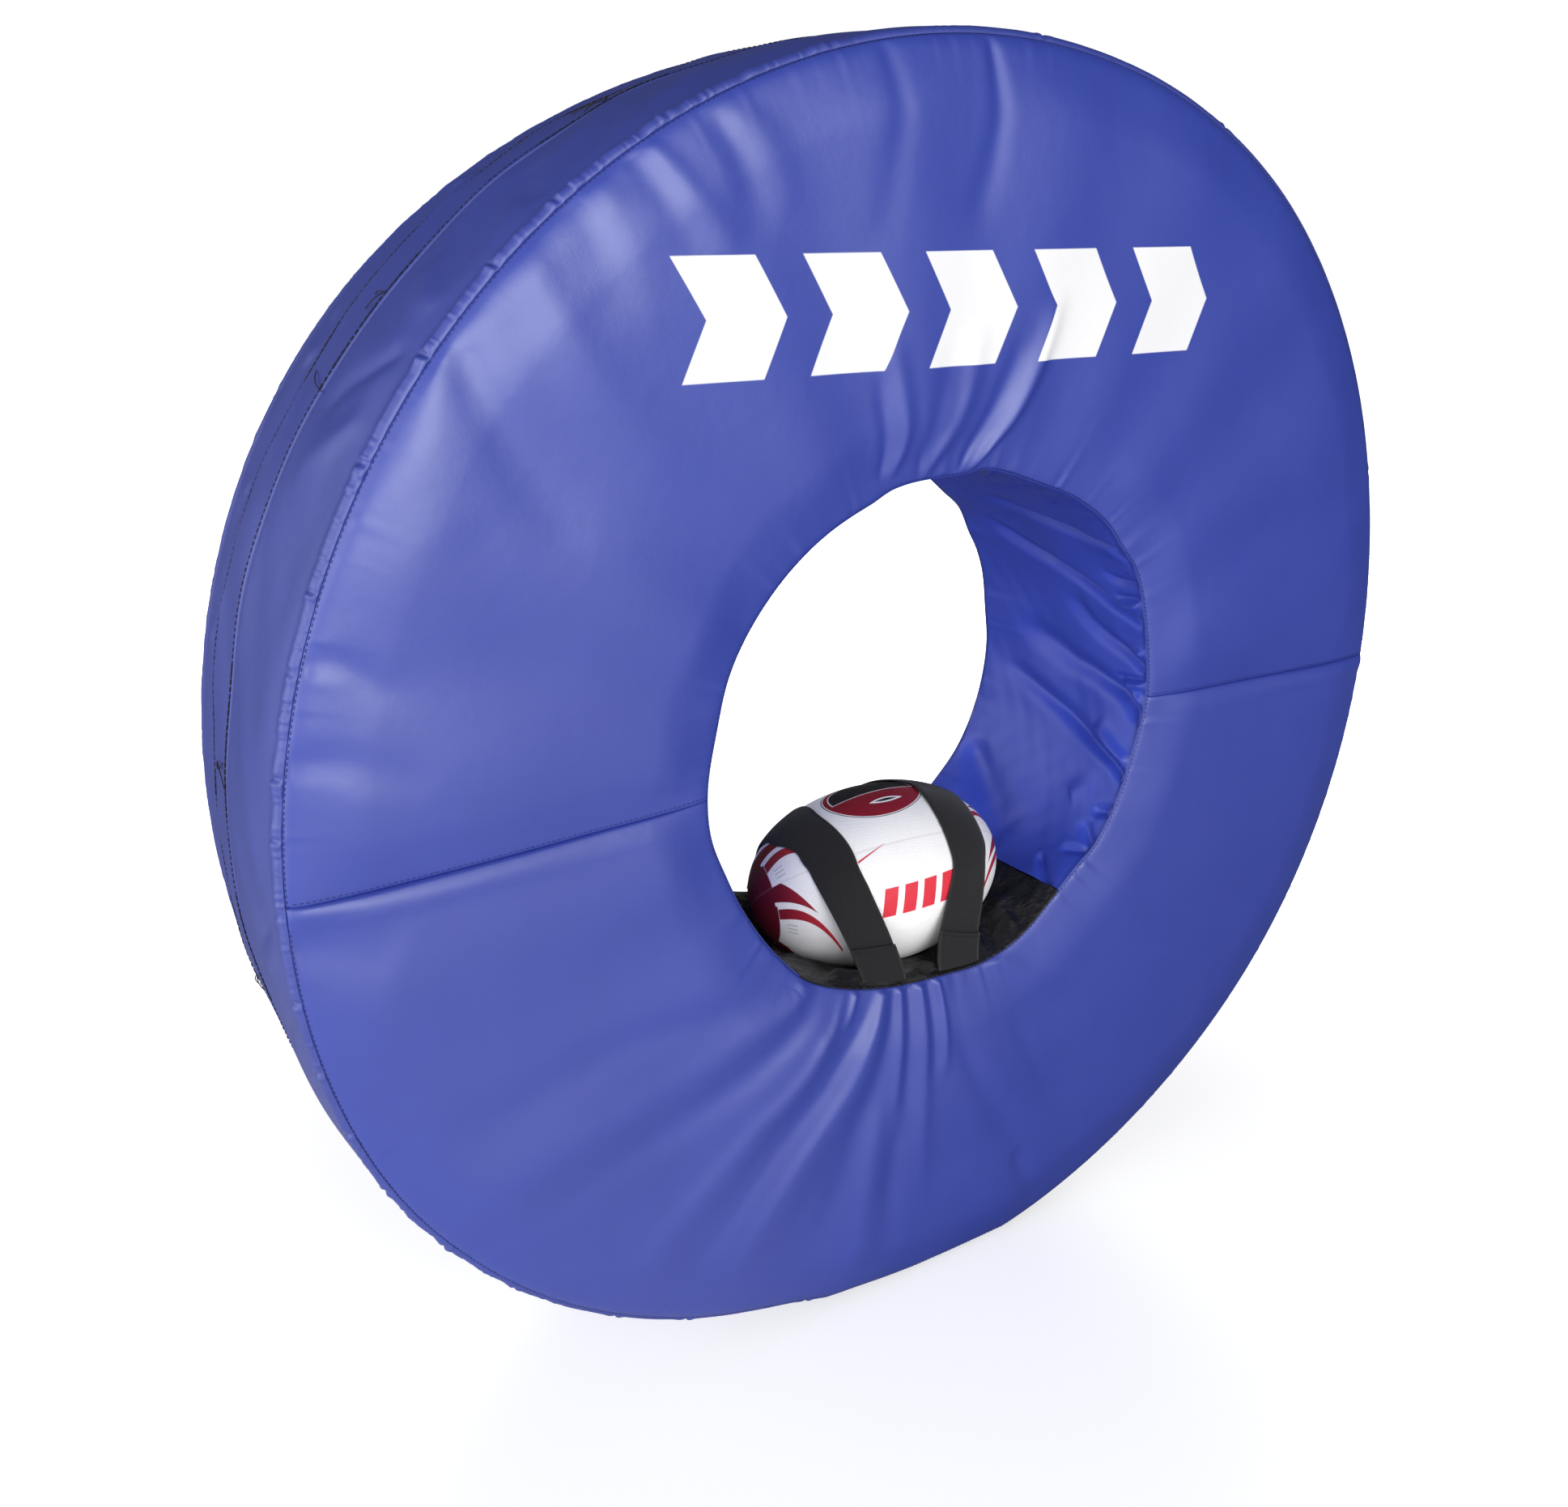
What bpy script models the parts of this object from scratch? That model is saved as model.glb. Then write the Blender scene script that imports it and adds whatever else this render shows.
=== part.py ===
"""Rugby tackle ring: a laminated foam ring in a sewn vinyl cover, with a ball strapped in its bore.

The ring stands on its edge. Its front face looks along -Y and its axis runs along Y.
The origin is on the floor, under the middle of the ring. Lengths are in metres.

The ring is drawn lying down, about the Z axis with its front face up, and an empty stands it up.
So in the functions below x is across, y is up in use, and z points out of the front face.
"""

import math

import bmesh
import bpy
from mathutils import Matrix, Vector

# Foam ring and cover
RING_RADIUS = 0.610  # ring axis to the edge of the tread
RING_WIDTH = 0.256  # face to face at the rims
CORNER_RADIUS = 0.018  # roll between the tread and a face
TREAD_CROWN = 0.005
FACE_CROWN = 0.006  # rise of the foam's face halfway between the rims
FACE_PUFF = 0.006  # rise of the loose cover over the foam
FLOOR_SAG = 0.012  # how much of the radius the floor presses flat
PRESS_DEPTH = 0.100  # how far into the foam that pressing is felt
BORE_RADIUS = 0.261
BORE_RISE = 0.009  # the bore is cut this much above the ring's axis
BORE_EDGE_RADIUS = 0.010
COVER_THICKNESS = 0.0015
SEAT_GAP = 0.0003  # left between two pieces that touch
MERGE = 0.00005  # points nearer than this are one point

# Seams of the cover
SEAM_GAP = 0.0012
SEAM_DEPTH = 0.0025  # how far stitching draws a seam in
SEAM_REACH = 0.060  # how far from a seam the cover is still drawn in
RIM_SEAM_INSET = 0.013  # rim seam inside the tread's edge
BORE_SEAM_INSET = 0.006  # seam round the mouth of the bore, outside the bore wall

# Closure round the tread
FLAP_FRONT = -0.0105  # height of the flap's sewn edge
FLAP_BACK = -0.0630  # height of the flap's free edge
LAP_WIDTH = 0.010
JOGGLE_FRONT = 0.0020  # length of the step down under the flap
JOGGLE_BACK = 0.0050
TAPE_THICKNESS = 0.0015
TAPE_FRONT = -0.0240
TAPE_BACK = -0.0600
LAP_STEP = 0.0010  # clear strip between two edges that lie side by side

# Foam slabs
SLAB_HALF = 0.0407  # half the thickness of the middle slab
FOAM_CORNER_DROP = 0.0030  # the cover squeezes the foam's corners this much rounder
FOAM_SHOULDER = 0.0240  # from the tread to where the foam's corner starts
FOAM_BORE_CHAMFER = 0.0220
FOAM_DIP_SLACK = 0.0052  # the foam lies this much deeper than the cradle under the ball

# Ball
BALL_LENGTH = 0.268
BALL_DIAMETER = 0.185
BALL_X = 0.0055
BALL_FORWARD = 0.010  # ball's centre in front of the ring's middle plane
BALL_SINK = 0.0142  # the straps press the ball this deep into the bore
BALL_CLEARANCE = 0.0022  # between the ball and the cradle at the cradle's own points
PANEL_THICKNESS = 0.0040
BALL_SEAM_GAP = 0.0005
BLADDER_THICKNESS = 0.0020
VALVE_X = -0.018  # from the ball's middle
VALVE_HEAD_RADIUS = 0.0035
VALVE_STEM_RADIUS = 0.0020
VALVE_STEM_LENGTH = 0.012
VALVE_CLEARANCE = 0.0003

# Elastic straps and their sewn tabs
STRAP_WIDTH = 0.048
STRAP_THICKNESS = 0.0015
STRAP_CLEARANCE = 0.0014  # between the strap and the ball at the strap's own points
STRAP_INSET = 0.016  # strap's foot inside the face of the ring
STRAP_FOOT_GAP = 0.0008
TAB_HEIGHT = 0.034
TAB_THICKNESS = 0.0025
TAB_GAP = 0.0010

# Folds of the front cover
FAN_FOLD_HEIGHT = 0.007
LONG_FOLD_HEIGHT = 0.006
FOLD_HALF_WIDTH = 0.024

# Angles and counts
STATIONS = 64  # round the whole ring
LOWER_STATIONS = 64  # round the gathered half panel of the front
UPPER_STATIONS = 48
BACK_STATIONS = 32
CRADLE_STATIONS = 14
CRADLE_ROW_COUNT = 4  # on each side of the ball's middle
BALL_SEGMENTS = 36
BALL_RINGS = 12
BLADDER_SEGMENTS = 16
VALVE_SEGMENTS = 16
BORE_EDGE_TURN = math.radians(25)  # points on the rolled edges between their ends
ROLL_TURN = math.radians(45)
SHARP_TURN = math.radians(40)  # a steeper edge than this is shaded sharp
BALL_TURN = math.radians(14)  # the ball's right end lies this much further forward
BALL_TILT = math.radians(7)  # its right end stands this much higher
BALL_SEAM_TURN = math.radians(45)
VALVE_TURN = math.radians(165)
FAN_START = math.radians(-129.4)
FAN_STEP = math.radians(8.4375)
STRAP_ROW_COUNT = 22
STRAP_COLUMN_COUNT = 4
TAB_ROW_COUNT = 2
FREE_ROW_COUNT = 4
FOOT_ROUNDS = 6  # steps to find a strap's foot

CRADLE_DIP_SHARE = 1.5  # half the cradle's fine rows over half the ball's dip

# Places of a strap along the ball's axis at its front foot, belly, top, back belly and back foot,
# from the ball's middle, over half its length
LEFT_STRAP_SHARES = (-0.290, -0.468, -0.590, -0.640, -0.690)
RIGHT_STRAP_SHARES = (0.375, 0.610, 0.565, 0.270, -0.030)

# Shares across a face, from the bore seam to the rim seam
FRONT_SHARES = (0, 0.045, 0.14, 0.30, 0.52, 0.76, 0.95, 1)
BACK_SHARES = (0, 0.06, 0.35, 0.68, 0.94, 1)

FAN_REACH_SHARES = (0.45, 0.58, 0.26, 0.61, 0.35, 0.64, 0.31, 0.48, 0.28)

# Long folds on the front: angle and share across the face at each end, then height share
LOWER_FOLD_SHARES = (
    (-96, 0.02, -119, 0.92, 1.0),
    (-92, 0.05, -101, 0.97, 0.8),
    (-84, 0.02, -76, 0.80, 0.6),
    (-71, 0.02, -58, 0.70, 0.5),
    (-176, 0.10, -158, 0.85, 0.8),
    (-150, 0.25, -137, 0.95, 0.6),
    (-34, 0.05, -22, 0.85, 0.6),
)
UPPER_FOLD_SHARES = (
    (106, 0.02, 101, 0.62, 0.8),
    (94, 0.02, 86, 0.55, 0.6),
    (82, 0.02, 68, 0.60, 0.7),
    (92, 0.99, 97, 0.55, 0.7),
    (72, 0.99, 78, 0.50, 0.6),
    (128, 0.90, 118, 0.35, 0.8),
    (150, 0.85, 163, 0.30, 0.6),
    (38, 0.15, 30, 0.80, 0.5),
)

HALF_WIDTH = RING_WIDTH / 2
TREAD_HALF = HALF_WIDTH - CORNER_RADIUS
AXIS_HEIGHT = RING_RADIUS - FLOOR_SAG
RIM_SEAM_RADIUS = RING_RADIUS - RIM_SEAM_INSET
BORE_SEAM_RADIUS = BORE_RADIUS + BORE_SEAM_INSET
LAYER = COVER_THICKNESS + SEAT_GAP
TAPE_LAYER = TAPE_THICKNESS + SEAT_GAP
BACK_LAP_DEPTH = LAYER + 2 * TAPE_LAYER
CHANNEL_DEPTH = BACK_LAP_DEPTH + LAYER + SEAT_GAP
BALL_RADIUS = BALL_DIAMETER / 2
BALL_Y = BORE_RISE - BORE_RADIUS + BALL_RADIUS - BALL_SINK
BALL_CENTRE = Vector((BALL_X, BALL_Y, BALL_FORWARD))
BALL_AXES = Matrix.Rotation(-BALL_TURN, 3, "Y") @ Matrix.Rotation(BALL_TILT, 3, "Z")
FOAM_BALL_CLEARANCE = BALL_CLEARANCE + LAYER + FOAM_DIP_SLACK


def clear_scene():
    for item in list(bpy.data.objects):
        bpy.data.objects.remove(item, do_unlink=True)


def new_collection(name):
    group = bpy.data.collections.new(name)
    bpy.context.scene.collection.children.link(group)
    return group


def material(name, colour, roughness, metallic=0.0):
    finish = bpy.data.materials.new(name)
    finish.use_nodes = True
    shader = finish.node_tree.nodes["Principled BSDF"]
    shader.inputs["Base Color"].default_value = (*colour, 1)
    shader.inputs["Roughness"].default_value = roughness
    shader.inputs["Metallic"].default_value = metallic
    return finish


def add_object(name, mesh, group, finish, parent):
    piece = bpy.data.objects.new(name, mesh)
    group.objects.link(piece)
    piece.parent = parent
    mesh.materials.clear()
    mesh.materials.append(finish)
    return piece


def evaluated_mesh(item):
    """The mesh that an object's modifiers make; the object itself is removed."""
    bpy.context.view_layer.update()
    seen = item.evaluated_get(bpy.context.evaluated_depsgraph_get())
    mesh = bpy.data.meshes.new_from_object(seen)
    bpy.data.objects.remove(item, do_unlink=True)
    return mesh


def turned(profile, start=0.0, sweep=math.tau, steps=STATIONS, ring=False):
    """A surface turned about Z from (radius, height) points; ring joins the last point to the first."""
    outline = bpy.data.meshes.new("outline")
    corners = [(radius, 0, height) for radius, height in profile]
    links = [(n, n + 1) for n in range(len(corners) - 1)]
    if ring:
        links.append((len(corners) - 1, 0))
    outline.from_pydata(corners, links, [])
    guide = bpy.data.objects.new("outline", outline)
    bpy.context.scene.collection.objects.link(guide)
    screw = guide.modifiers.new("turn", "SCREW")
    screw.axis = "Z"
    screw.angle = sweep
    screw.steps = steps
    screw.render_steps = steps
    screw.use_merge_vertices = sweep == math.tau
    screw.merge_threshold = MERGE
    mesh = evaluated_mesh(guide)
    mesh.transform(Matrix.Rotation(start, 4, "Z"))
    return mesh


def reshape(mesh, move):
    for vertex in mesh.vertices:
        vertex.co = move(vertex.co.copy())
    mesh.update()
    return mesh


def thicken(piece, thickness, side=-1):
    """Solidify a surface; side -1 grows it behind the surface and 1 in front of it."""
    solid = piece.modifiers.new("thickness", "SOLIDIFY")
    solid.thickness = thickness
    solid.offset = side
    solid.use_even_offset = True
    return solid


def smooth(mesh):
    mesh.shade_smooth()
    mesh.set_sharp_from_angle(angle=SHARP_TURN)


def clamp01(value):
    return min(1.0, max(0.0, value))


def ease(value):
    value = clamp01(value)
    return value * value * (3 - 2 * value)


def blend(a, b, share):
    return a + (b - a) * share


# Where the surfaces of the ring lie


def crown_radius(height):
    return RING_RADIUS + TREAD_CROWN * (1 - (height / TREAD_HALF) ** 4)


def tread_radius(height):
    """Outside of the tread, straight across the closure flap."""
    if FLAP_BACK <= height <= FLAP_FRONT:
        share = (FLAP_FRONT - height) / (FLAP_FRONT - FLAP_BACK)
        return blend(crown_radius(FLAP_FRONT), crown_radius(FLAP_BACK), share)
    return crown_radius(height)


def tread_point(height, depth):
    return (tread_radius(height) - depth, height)


def corner_point(turn, side, depth=0.0):
    """On the roll between a face and the tread; turn 0 is at the face and 90 degrees at the tread."""
    radius = CORNER_RADIUS - depth
    return (
        RING_RADIUS - CORNER_RADIUS + radius * math.sin(turn),
        side * (TREAD_HALF + radius * math.cos(turn)),
    )


def rim_seam_point(side, shift):
    """The rim seam, drawn in; shift moves out from the seam line."""
    turn = math.asin((CORNER_RADIUS - RIM_SEAM_INSET) / CORNER_RADIUS)
    height = TREAD_HALF + CORNER_RADIUS * math.cos(turn) - SEAM_DEPTH
    return (RIM_SEAM_RADIUS + shift, side * height)


def bore_edge_point(turn, side):
    """On the roll between the bore and a face; turn 0 is at the bore."""
    return (
        BORE_RADIUS + BORE_EDGE_RADIUS * (1 - math.cos(turn)),
        side * (HALF_WIDTH - BORE_EDGE_RADIUS * (1 - math.sin(turn))),
    )


def bore_seam_point(side, shift):
    across = (BORE_EDGE_RADIUS - BORE_SEAM_INSET) / BORE_EDGE_RADIUS
    height = HALF_WIDTH - BORE_EDGE_RADIUS * (1 - math.sqrt(1 - across**2)) - SEAM_DEPTH
    return (BORE_SEAM_RADIUS + shift, side * height)


def raise_bore(point):
    """Cut the bore above the ring's axis; the rim stays where it is."""
    radius = math.hypot(point.x, point.y)
    share = clamp01((RIM_SEAM_RADIUS - radius) / (RIM_SEAM_RADIUS - BORE_RADIUS))
    point.y += BORE_RISE * share
    return point


def press_flat(point, depth):
    """Press the foot of the ring flat on the floor; depth is how deep the surface lies in the ring."""
    radius = math.hypot(point.x, point.y)
    down = -point.y / radius
    if down > 0:
        sag = max(0.0, RING_RADIUS - AXIS_HEIGHT / down)
        felt = clamp01((radius - RING_RADIUS + PRESS_DEPTH) / PRESS_DEPTH)
        share = (radius - sag * felt) / radius
        point.x *= share
        point.y *= share
    point.y = max(point.y, depth - AXIS_HEIGHT)
    return point


def seat_ball(point, clearance):
    """Press the bore down under the ball, to where the line straight up meets the ball first."""
    axis = BALL_AXES.col[0]
    round_gain = 1 / (BALL_RADIUS + clearance) ** 2
    long_gain = 1 / (BALL_LENGTH / 2 + clearance) ** 2 - round_gain
    across = Vector((point.x - BALL_X, 0, point.z - BALL_FORWARD))
    along = across.dot(axis)
    a = round_gain + long_gain * axis.y**2
    b = long_gain * axis.y * along
    c = round_gain * across.length_squared + long_gain * along**2 - 1
    if b * b > a * c and point.y < BALL_Y:
        point.y = min(point.y, BALL_Y - (b + math.sqrt(b * b - a * c)) / a)
    return point


# Loose cover of the faces


def face_share(radius):
    return clamp01((radius - BORE_SEAM_RADIUS) / (RIM_SEAM_RADIUS - BORE_SEAM_RADIUS))


def crown_height(share):
    return FACE_CROWN * (1 - (2 * share - 1) ** 4)


def puff_height(x, y, share):
    """The cover rises between its seams: the rim, the bore and the join across the middle."""
    width = RIM_SEAM_RADIUS - BORE_SEAM_RADIUS
    from_edges = min(share, 1 - share) * width
    return FACE_PUFF * ease(from_edges / SEAM_REACH) * ease(abs(y) / SEAM_REACH)


def fold_height(x, y, fold):
    """One straight fold, highest in its first half and faded out at both ends."""
    angle_a, share_a, angle_b, share_b, strength = fold
    width = RIM_SEAM_RADIUS - BORE_SEAM_RADIUS
    ends = []
    for angle, share in ((angle_a, share_a), (angle_b, share_b)):
        radius = BORE_SEAM_RADIUS + width * share
        turn = math.radians(angle)
        ends.append(Vector((radius * math.cos(turn), radius * math.sin(turn))))
    run = ends[1] - ends[0]
    along = (Vector((x, y)) - ends[0]).dot(run) / run.length_squared
    off = abs((Vector((x, y)) - ends[0]).cross(run)) / run.length
    if off >= FOLD_HALF_WIDTH or not 0 <= along <= 1:
        return 0.0
    ridge = 0.5 + 0.5 * math.cos(math.pi * off / FOLD_HALF_WIDTH)
    return LONG_FOLD_HEIGHT * strength * ridge * math.sin(math.pi * math.sqrt(along))


def fan_height(x, y, share):
    """Gathers that spread from the cradle's front seam."""
    turn = math.atan2(y, x)
    height = 0.0
    for n, reach in enumerate(FAN_REACH_SHARES):
        off = abs(turn - FAN_START - n * FAN_STEP) / (FAN_STEP / 2)
        if off < 1 and share < reach:
            fade = math.cos(math.pi / 2 * share / reach)
            height += FAN_FOLD_HEIGHT * fade * (0.5 + 0.5 * math.cos(math.pi * off))
    return height


def front_height(point, folds, gathered):
    share = face_share(math.hypot(point.x, point.y))
    loose = 1.0 if 0 < share < 1 else 0.0
    height = max(fold_height(point.x, point.y, fold) for fold in folds)
    if gathered:
        height = max(height, fan_height(point.x, point.y, share))
    edge = ease(abs(point.y) / (SEAM_REACH / 2))
    return loose * (crown_height(share) + puff_height(point.x, point.y, share) + height * edge)


def face_profile(side, shares):
    """Points across a face from the bore seam to the rim seam, without crown or folds."""
    width = RIM_SEAM_RADIUS - BORE_SEAM_RADIUS
    points = [bore_seam_point(side, SEAM_GAP)]
    points += [(BORE_SEAM_RADIUS + width * share, side * HALF_WIDTH) for share in shares[1:-1]]
    points.append(rim_seam_point(side, -SEAM_GAP / 2))
    return points


def face_panel(name, group, finish, frame, front, upper):
    """Half of a face cover, cut along the join across the middle."""
    side = 1 if front else -1
    profile = face_profile(side, FRONT_SHARES if front else BACK_SHARES)
    if not front:
        profile.reverse()
    start = 0 if upper else math.pi
    steps = BACK_STATIONS
    if front:
        steps = UPPER_STATIONS if upper else LOWER_STATIONS
    folds = UPPER_FOLD_SHARES if upper else LOWER_FOLD_SHARES

    def move(point):
        share = face_share(math.hypot(point.x, point.y))
        if front:
            height = front_height(point, folds, not upper)
        else:
            loose = 1.0 if 0 < share < 1 else 0.0
            height = loose * (crown_height(share) + puff_height(point.x, point.y, share))
            height = min(height, FACE_CROWN + FACE_PUFF)
        away = SEAM_GAP / 2 * (1 - abs(point.y) / math.hypot(point.x, point.y))
        point.z += side * height
        point = raise_bore(point)
        point.y += away if upper else -away
        return press_flat(point, 0.0)

    mesh = reshape(turned(profile, start, math.pi, steps), move)
    smooth(mesh)
    piece = add_object(name, mesh, group, finish, frame)
    thicken(piece, COVER_THICKNESS)
    return piece


# Tread and its closure


def cover_layer(name, profile, depths, group, finish, frame, thickness):
    """A band turned from a profile whose points lie at the given depths under the cover's skin."""
    depth_at = {}
    for (_, height), depth in zip(profile, depths):
        depth_at[round(height / MERGE)] = depth

    def move(point):
        return press_flat(point, depth_at[round(point.z / MERGE)])

    mesh = reshape(turned(profile), move)
    smooth(mesh)
    piece = add_object(name, mesh, group, finish, frame)
    thicken(piece, thickness)
    return piece


def tread_front_band(group, finish, frame):
    step_top = FLAP_FRONT + LAP_STEP + JOGGLE_FRONT
    step_foot = FLAP_FRONT + LAP_STEP
    profile = [
        rim_seam_point(1, SEAM_GAP / 2),
        corner_point(ROLL_TURN, 1),
        corner_point(math.pi / 2, 1),
        tread_point(SLAB_HALF, 0),
        tread_point(step_top, 0),
        tread_point(step_foot, LAYER),
        tread_point(FLAP_FRONT - LAP_WIDTH, LAYER),
    ]
    depths = (0, 0, 0, 0, 0, LAYER, LAYER)
    return cover_layer(
        "tread_front_band", profile, depths, group, finish, frame, COVER_THICKNESS
    )


def tread_back_band(group, finish, frame):
    lap_start = FLAP_FRONT - LAP_WIDTH - LAP_STEP
    step_foot = FLAP_BACK - LAP_STEP
    profile = [
        tread_point(lap_start, BACK_LAP_DEPTH),
        tread_point(step_foot, BACK_LAP_DEPTH),
        tread_point(step_foot - JOGGLE_BACK, 0),
        corner_point(math.pi / 2, -1),
        corner_point(ROLL_TURN, -1),
        rim_seam_point(-1, SEAM_GAP / 2),
    ]
    depths = (BACK_LAP_DEPTH, BACK_LAP_DEPTH, 0, 0, 0, 0)
    return cover_layer(
        "tread_back_band", profile, depths, group, finish, frame, COVER_THICKNESS
    )


def closure(group, flap_finish, hook_finish, loop_finish, frame):
    """The flap that closes the cover, and the hook and loop tapes under it."""
    flap = [tread_point(FLAP_FRONT, 0), tread_point(FLAP_BACK, 0)]
    cover_layer("closure_flap", flap, (0, 0), group, flap_finish, frame, COVER_THICKNESS)
    for name, finish, depth in (
        ("hook_tape", hook_finish, LAYER),
        ("loop_tape", loop_finish, LAYER + TAPE_LAYER),
    ):
        tape = [tread_point(TAPE_FRONT, depth), tread_point(TAPE_BACK, depth)]
        cover_layer(name, tape, (depth, depth), group, finish, frame, TAPE_THICKNESS)


# Bore


def bore_sleeve(group, finish, frame, trim):
    """The cover's lining round the bore, from one side of the cradle over the top to the other."""
    profile = [
        bore_seam_point(-1, 0),
        bore_edge_point(BORE_EDGE_TURN, -1),
        bore_edge_point(0, -1),
        bore_edge_point(0, 1),
        bore_edge_point(BORE_EDGE_TURN, 1),
        bore_seam_point(1, 0),
    ]
    station = math.tau / STATIONS
    half_cradle = CRADLE_STATIONS / 2 * station
    start = -math.pi / 2 + half_cradle + trim
    sweep = math.tau - 2 * half_cradle - 2 * trim
    steps = STATIONS - CRADLE_STATIONS
    mesh = reshape(turned(profile, start, sweep, steps), raise_bore)
    smooth(mesh)
    piece = add_object("bore_sleeve", mesh, group, finish, frame)
    thicken(piece, COVER_THICKNESS)
    return piece


def ball_cradle(group, finish, frame, trim):
    """The panel sewn into the bottom of the bore, pressed down under the ball."""
    dip = math.sqrt(BALL_RADIUS**2 - (BALL_RADIUS - BALL_SINK) ** 2)
    step = CRADLE_DIP_SHARE * dip / CRADLE_ROW_COUNT
    profile = [
        bore_seam_point(-1, 0),
        bore_edge_point(BORE_EDGE_TURN, -1),
        bore_edge_point(0, -1),
    ]
    for n in range(-CRADLE_ROW_COUNT, CRADLE_ROW_COUNT + 1):
        profile.append((BORE_RADIUS, BALL_FORWARD + step * n))
    profile += [
        bore_edge_point(0, 1),
        bore_edge_point(BORE_EDGE_TURN, 1),
        bore_seam_point(1, 0),
    ]
    station = math.tau / STATIONS
    half_cradle = CRADLE_STATIONS / 2 * station - trim
    start = -math.pi / 2 - half_cradle

    def move(point):
        return seat_ball(raise_bore(point), BALL_CLEARANCE)

    mesh = reshape(turned(profile, start, 2 * half_cradle, CRADLE_STATIONS), move)
    smooth(mesh)
    piece = add_object("ball_cradle", mesh, group, finish, frame)
    thicken(piece, COVER_THICKNESS)
    return piece


# Foam


def foam_face_points(side):
    """A slab's crowned outer face, from the bore to the tread."""
    height = HALF_WIDTH - LAYER - SEAT_GAP
    middle = (BORE_RADIUS + RING_RADIUS) / 2
    squeezed = TREAD_HALF - FOAM_CORNER_DROP
    return [
        (BORE_RADIUS + FOAM_BORE_CHAMFER, side * height),
        (middle, side * (height + FACE_CROWN)),
        (RING_RADIUS - FOAM_SHOULDER, side * (height - LAYER / 2)),
        (RING_RADIUS - LAYER - FOAM_CORNER_DROP, side * squeezed),
    ]


def foam_bore_points(heights):
    return [(BORE_RADIUS + LAYER, height) for height in heights]


def foam_slab(name, profile, group, finish, frame):
    def move(point):
        depth = tread_radius(point.z) - math.hypot(point.x, point.y)
        depth = max(0.0, min(depth, CHANNEL_DEPTH))
        point = seat_ball(raise_bore(point), FOAM_BALL_CLEARANCE)
        return press_flat(point, depth)

    mesh = reshape(turned(profile, ring=True), move)
    smooth(mesh)
    return add_object(name, mesh, group, finish, frame)


def foam_core(group, finish, frame):
    """Three glued slabs, with a shallow channel round them for the closure's layers."""
    cut = SLAB_HALF + SEAT_GAP / 2
    face_edge = HALF_WIDTH - FOAM_BORE_CHAMFER
    channel_top = FLAP_FRONT + LAP_STEP + JOGGLE_FRONT + LAYER
    channel_back = FLAP_BACK - LAP_STEP - SEAT_GAP
    channel_end = channel_back - JOGGLE_BACK - LAP_STEP
    front = foam_face_points(1)
    front.append(tread_point(cut, LAYER))
    front += foam_bore_points((cut, (cut + face_edge) / 2, face_edge))
    foam_slab("foam_slab_front", front, group, finish, frame)

    cut = SLAB_HALF - SEAT_GAP / 2
    middle = [
        tread_point(cut, LAYER),
        tread_point(channel_top, LAYER),
        tread_point(channel_top - JOGGLE_BACK, CHANNEL_DEPTH),
        tread_point(-cut, CHANNEL_DEPTH),
    ]
    middle += foam_bore_points((-cut, -cut / 2, 0, cut / 2, cut))
    foam_slab("foam_slab_middle", middle, group, finish, frame)

    cut = SLAB_HALF + SEAT_GAP / 2
    back = [
        tread_point(-cut, CHANNEL_DEPTH),
        tread_point(channel_back, CHANNEL_DEPTH),
        tread_point(channel_end, LAYER),
    ]
    back += reversed(foam_face_points(-1))
    back += foam_bore_points((-face_edge, -(cut + face_edge) / 2, -cut))
    foam_slab("foam_slab_back", back, group, finish, frame)


# Ball


def ellipsoid_mesh(name, half_length, radius, segments, rings):
    shape = bmesh.new()
    bmesh.ops.create_uvsphere(shape, u_segments=segments, v_segments=rings, radius=1)
    lay = Matrix.Rotation(math.pi / 2, 4, "Y")
    size = Matrix.Diagonal((half_length, radius, radius, 1))
    bmesh.ops.transform(shape, matrix=size @ lay, verts=shape.verts)
    mesh = bpy.data.meshes.new(name)
    shape.to_mesh(mesh)
    shape.free()
    return mesh


def add_cutter(name, shape, cutters, parent, matrix):
    mesh = bpy.data.meshes.new(name)
    shape.to_mesh(mesh)
    shape.free()
    mesh.transform(matrix)
    cutter = bpy.data.objects.new(name, mesh)
    cutters.objects.link(cutter)
    cutter.parent = parent
    cutter.hide_render = True
    cutter.display_type = "WIRE"
    return cutter


def cut(piece, cutter, operation):
    boolean = piece.modifiers.new(operation.lower(), "BOOLEAN")
    boolean.operation = operation
    boolean.solver = "EXACT"
    boolean.object = cutter


def quarter_wedge(name, turn, cutters, parent):
    """A box over one quarter of the ball, half a seam away from the two seam planes."""
    shape = bmesh.new()
    bmesh.ops.create_cube(shape, size=1)
    side = BALL_DIAMETER
    place = Matrix.Translation((0, (side + BALL_SEAM_GAP) / 2, (side + BALL_SEAM_GAP) / 2))
    size = Matrix.Diagonal((2 * BALL_LENGTH, side, side, 1))
    return add_cutter(name, shape, cutters, parent, Matrix.Rotation(turn, 4, "X") @ place @ size)


def ball_direction(turn):
    """Across the ball: turn 0 points out of the ring's front and a quarter turn points up."""
    return Vector((0, math.sin(turn), math.cos(turn)))


def valve_place():
    """Matrix of the valve: its Z axis is the ball's outward normal."""
    share = VALVE_X / (BALL_LENGTH / 2)
    radius = BALL_RADIUS * math.sqrt(1 - share**2)
    out = ball_direction(VALVE_TURN)
    point = Vector((VALVE_X, 0, 0)) + out * radius
    slope = VALVE_X / (BALL_LENGTH / 2) ** 2 / (radius / BALL_RADIUS**2)
    normal = (out + Vector((slope, 0, 0))).normalized()
    turn = normal.to_track_quat("Z", "Y").to_matrix().to_4x4()
    return Matrix.Translation(point) @ turn


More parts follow.
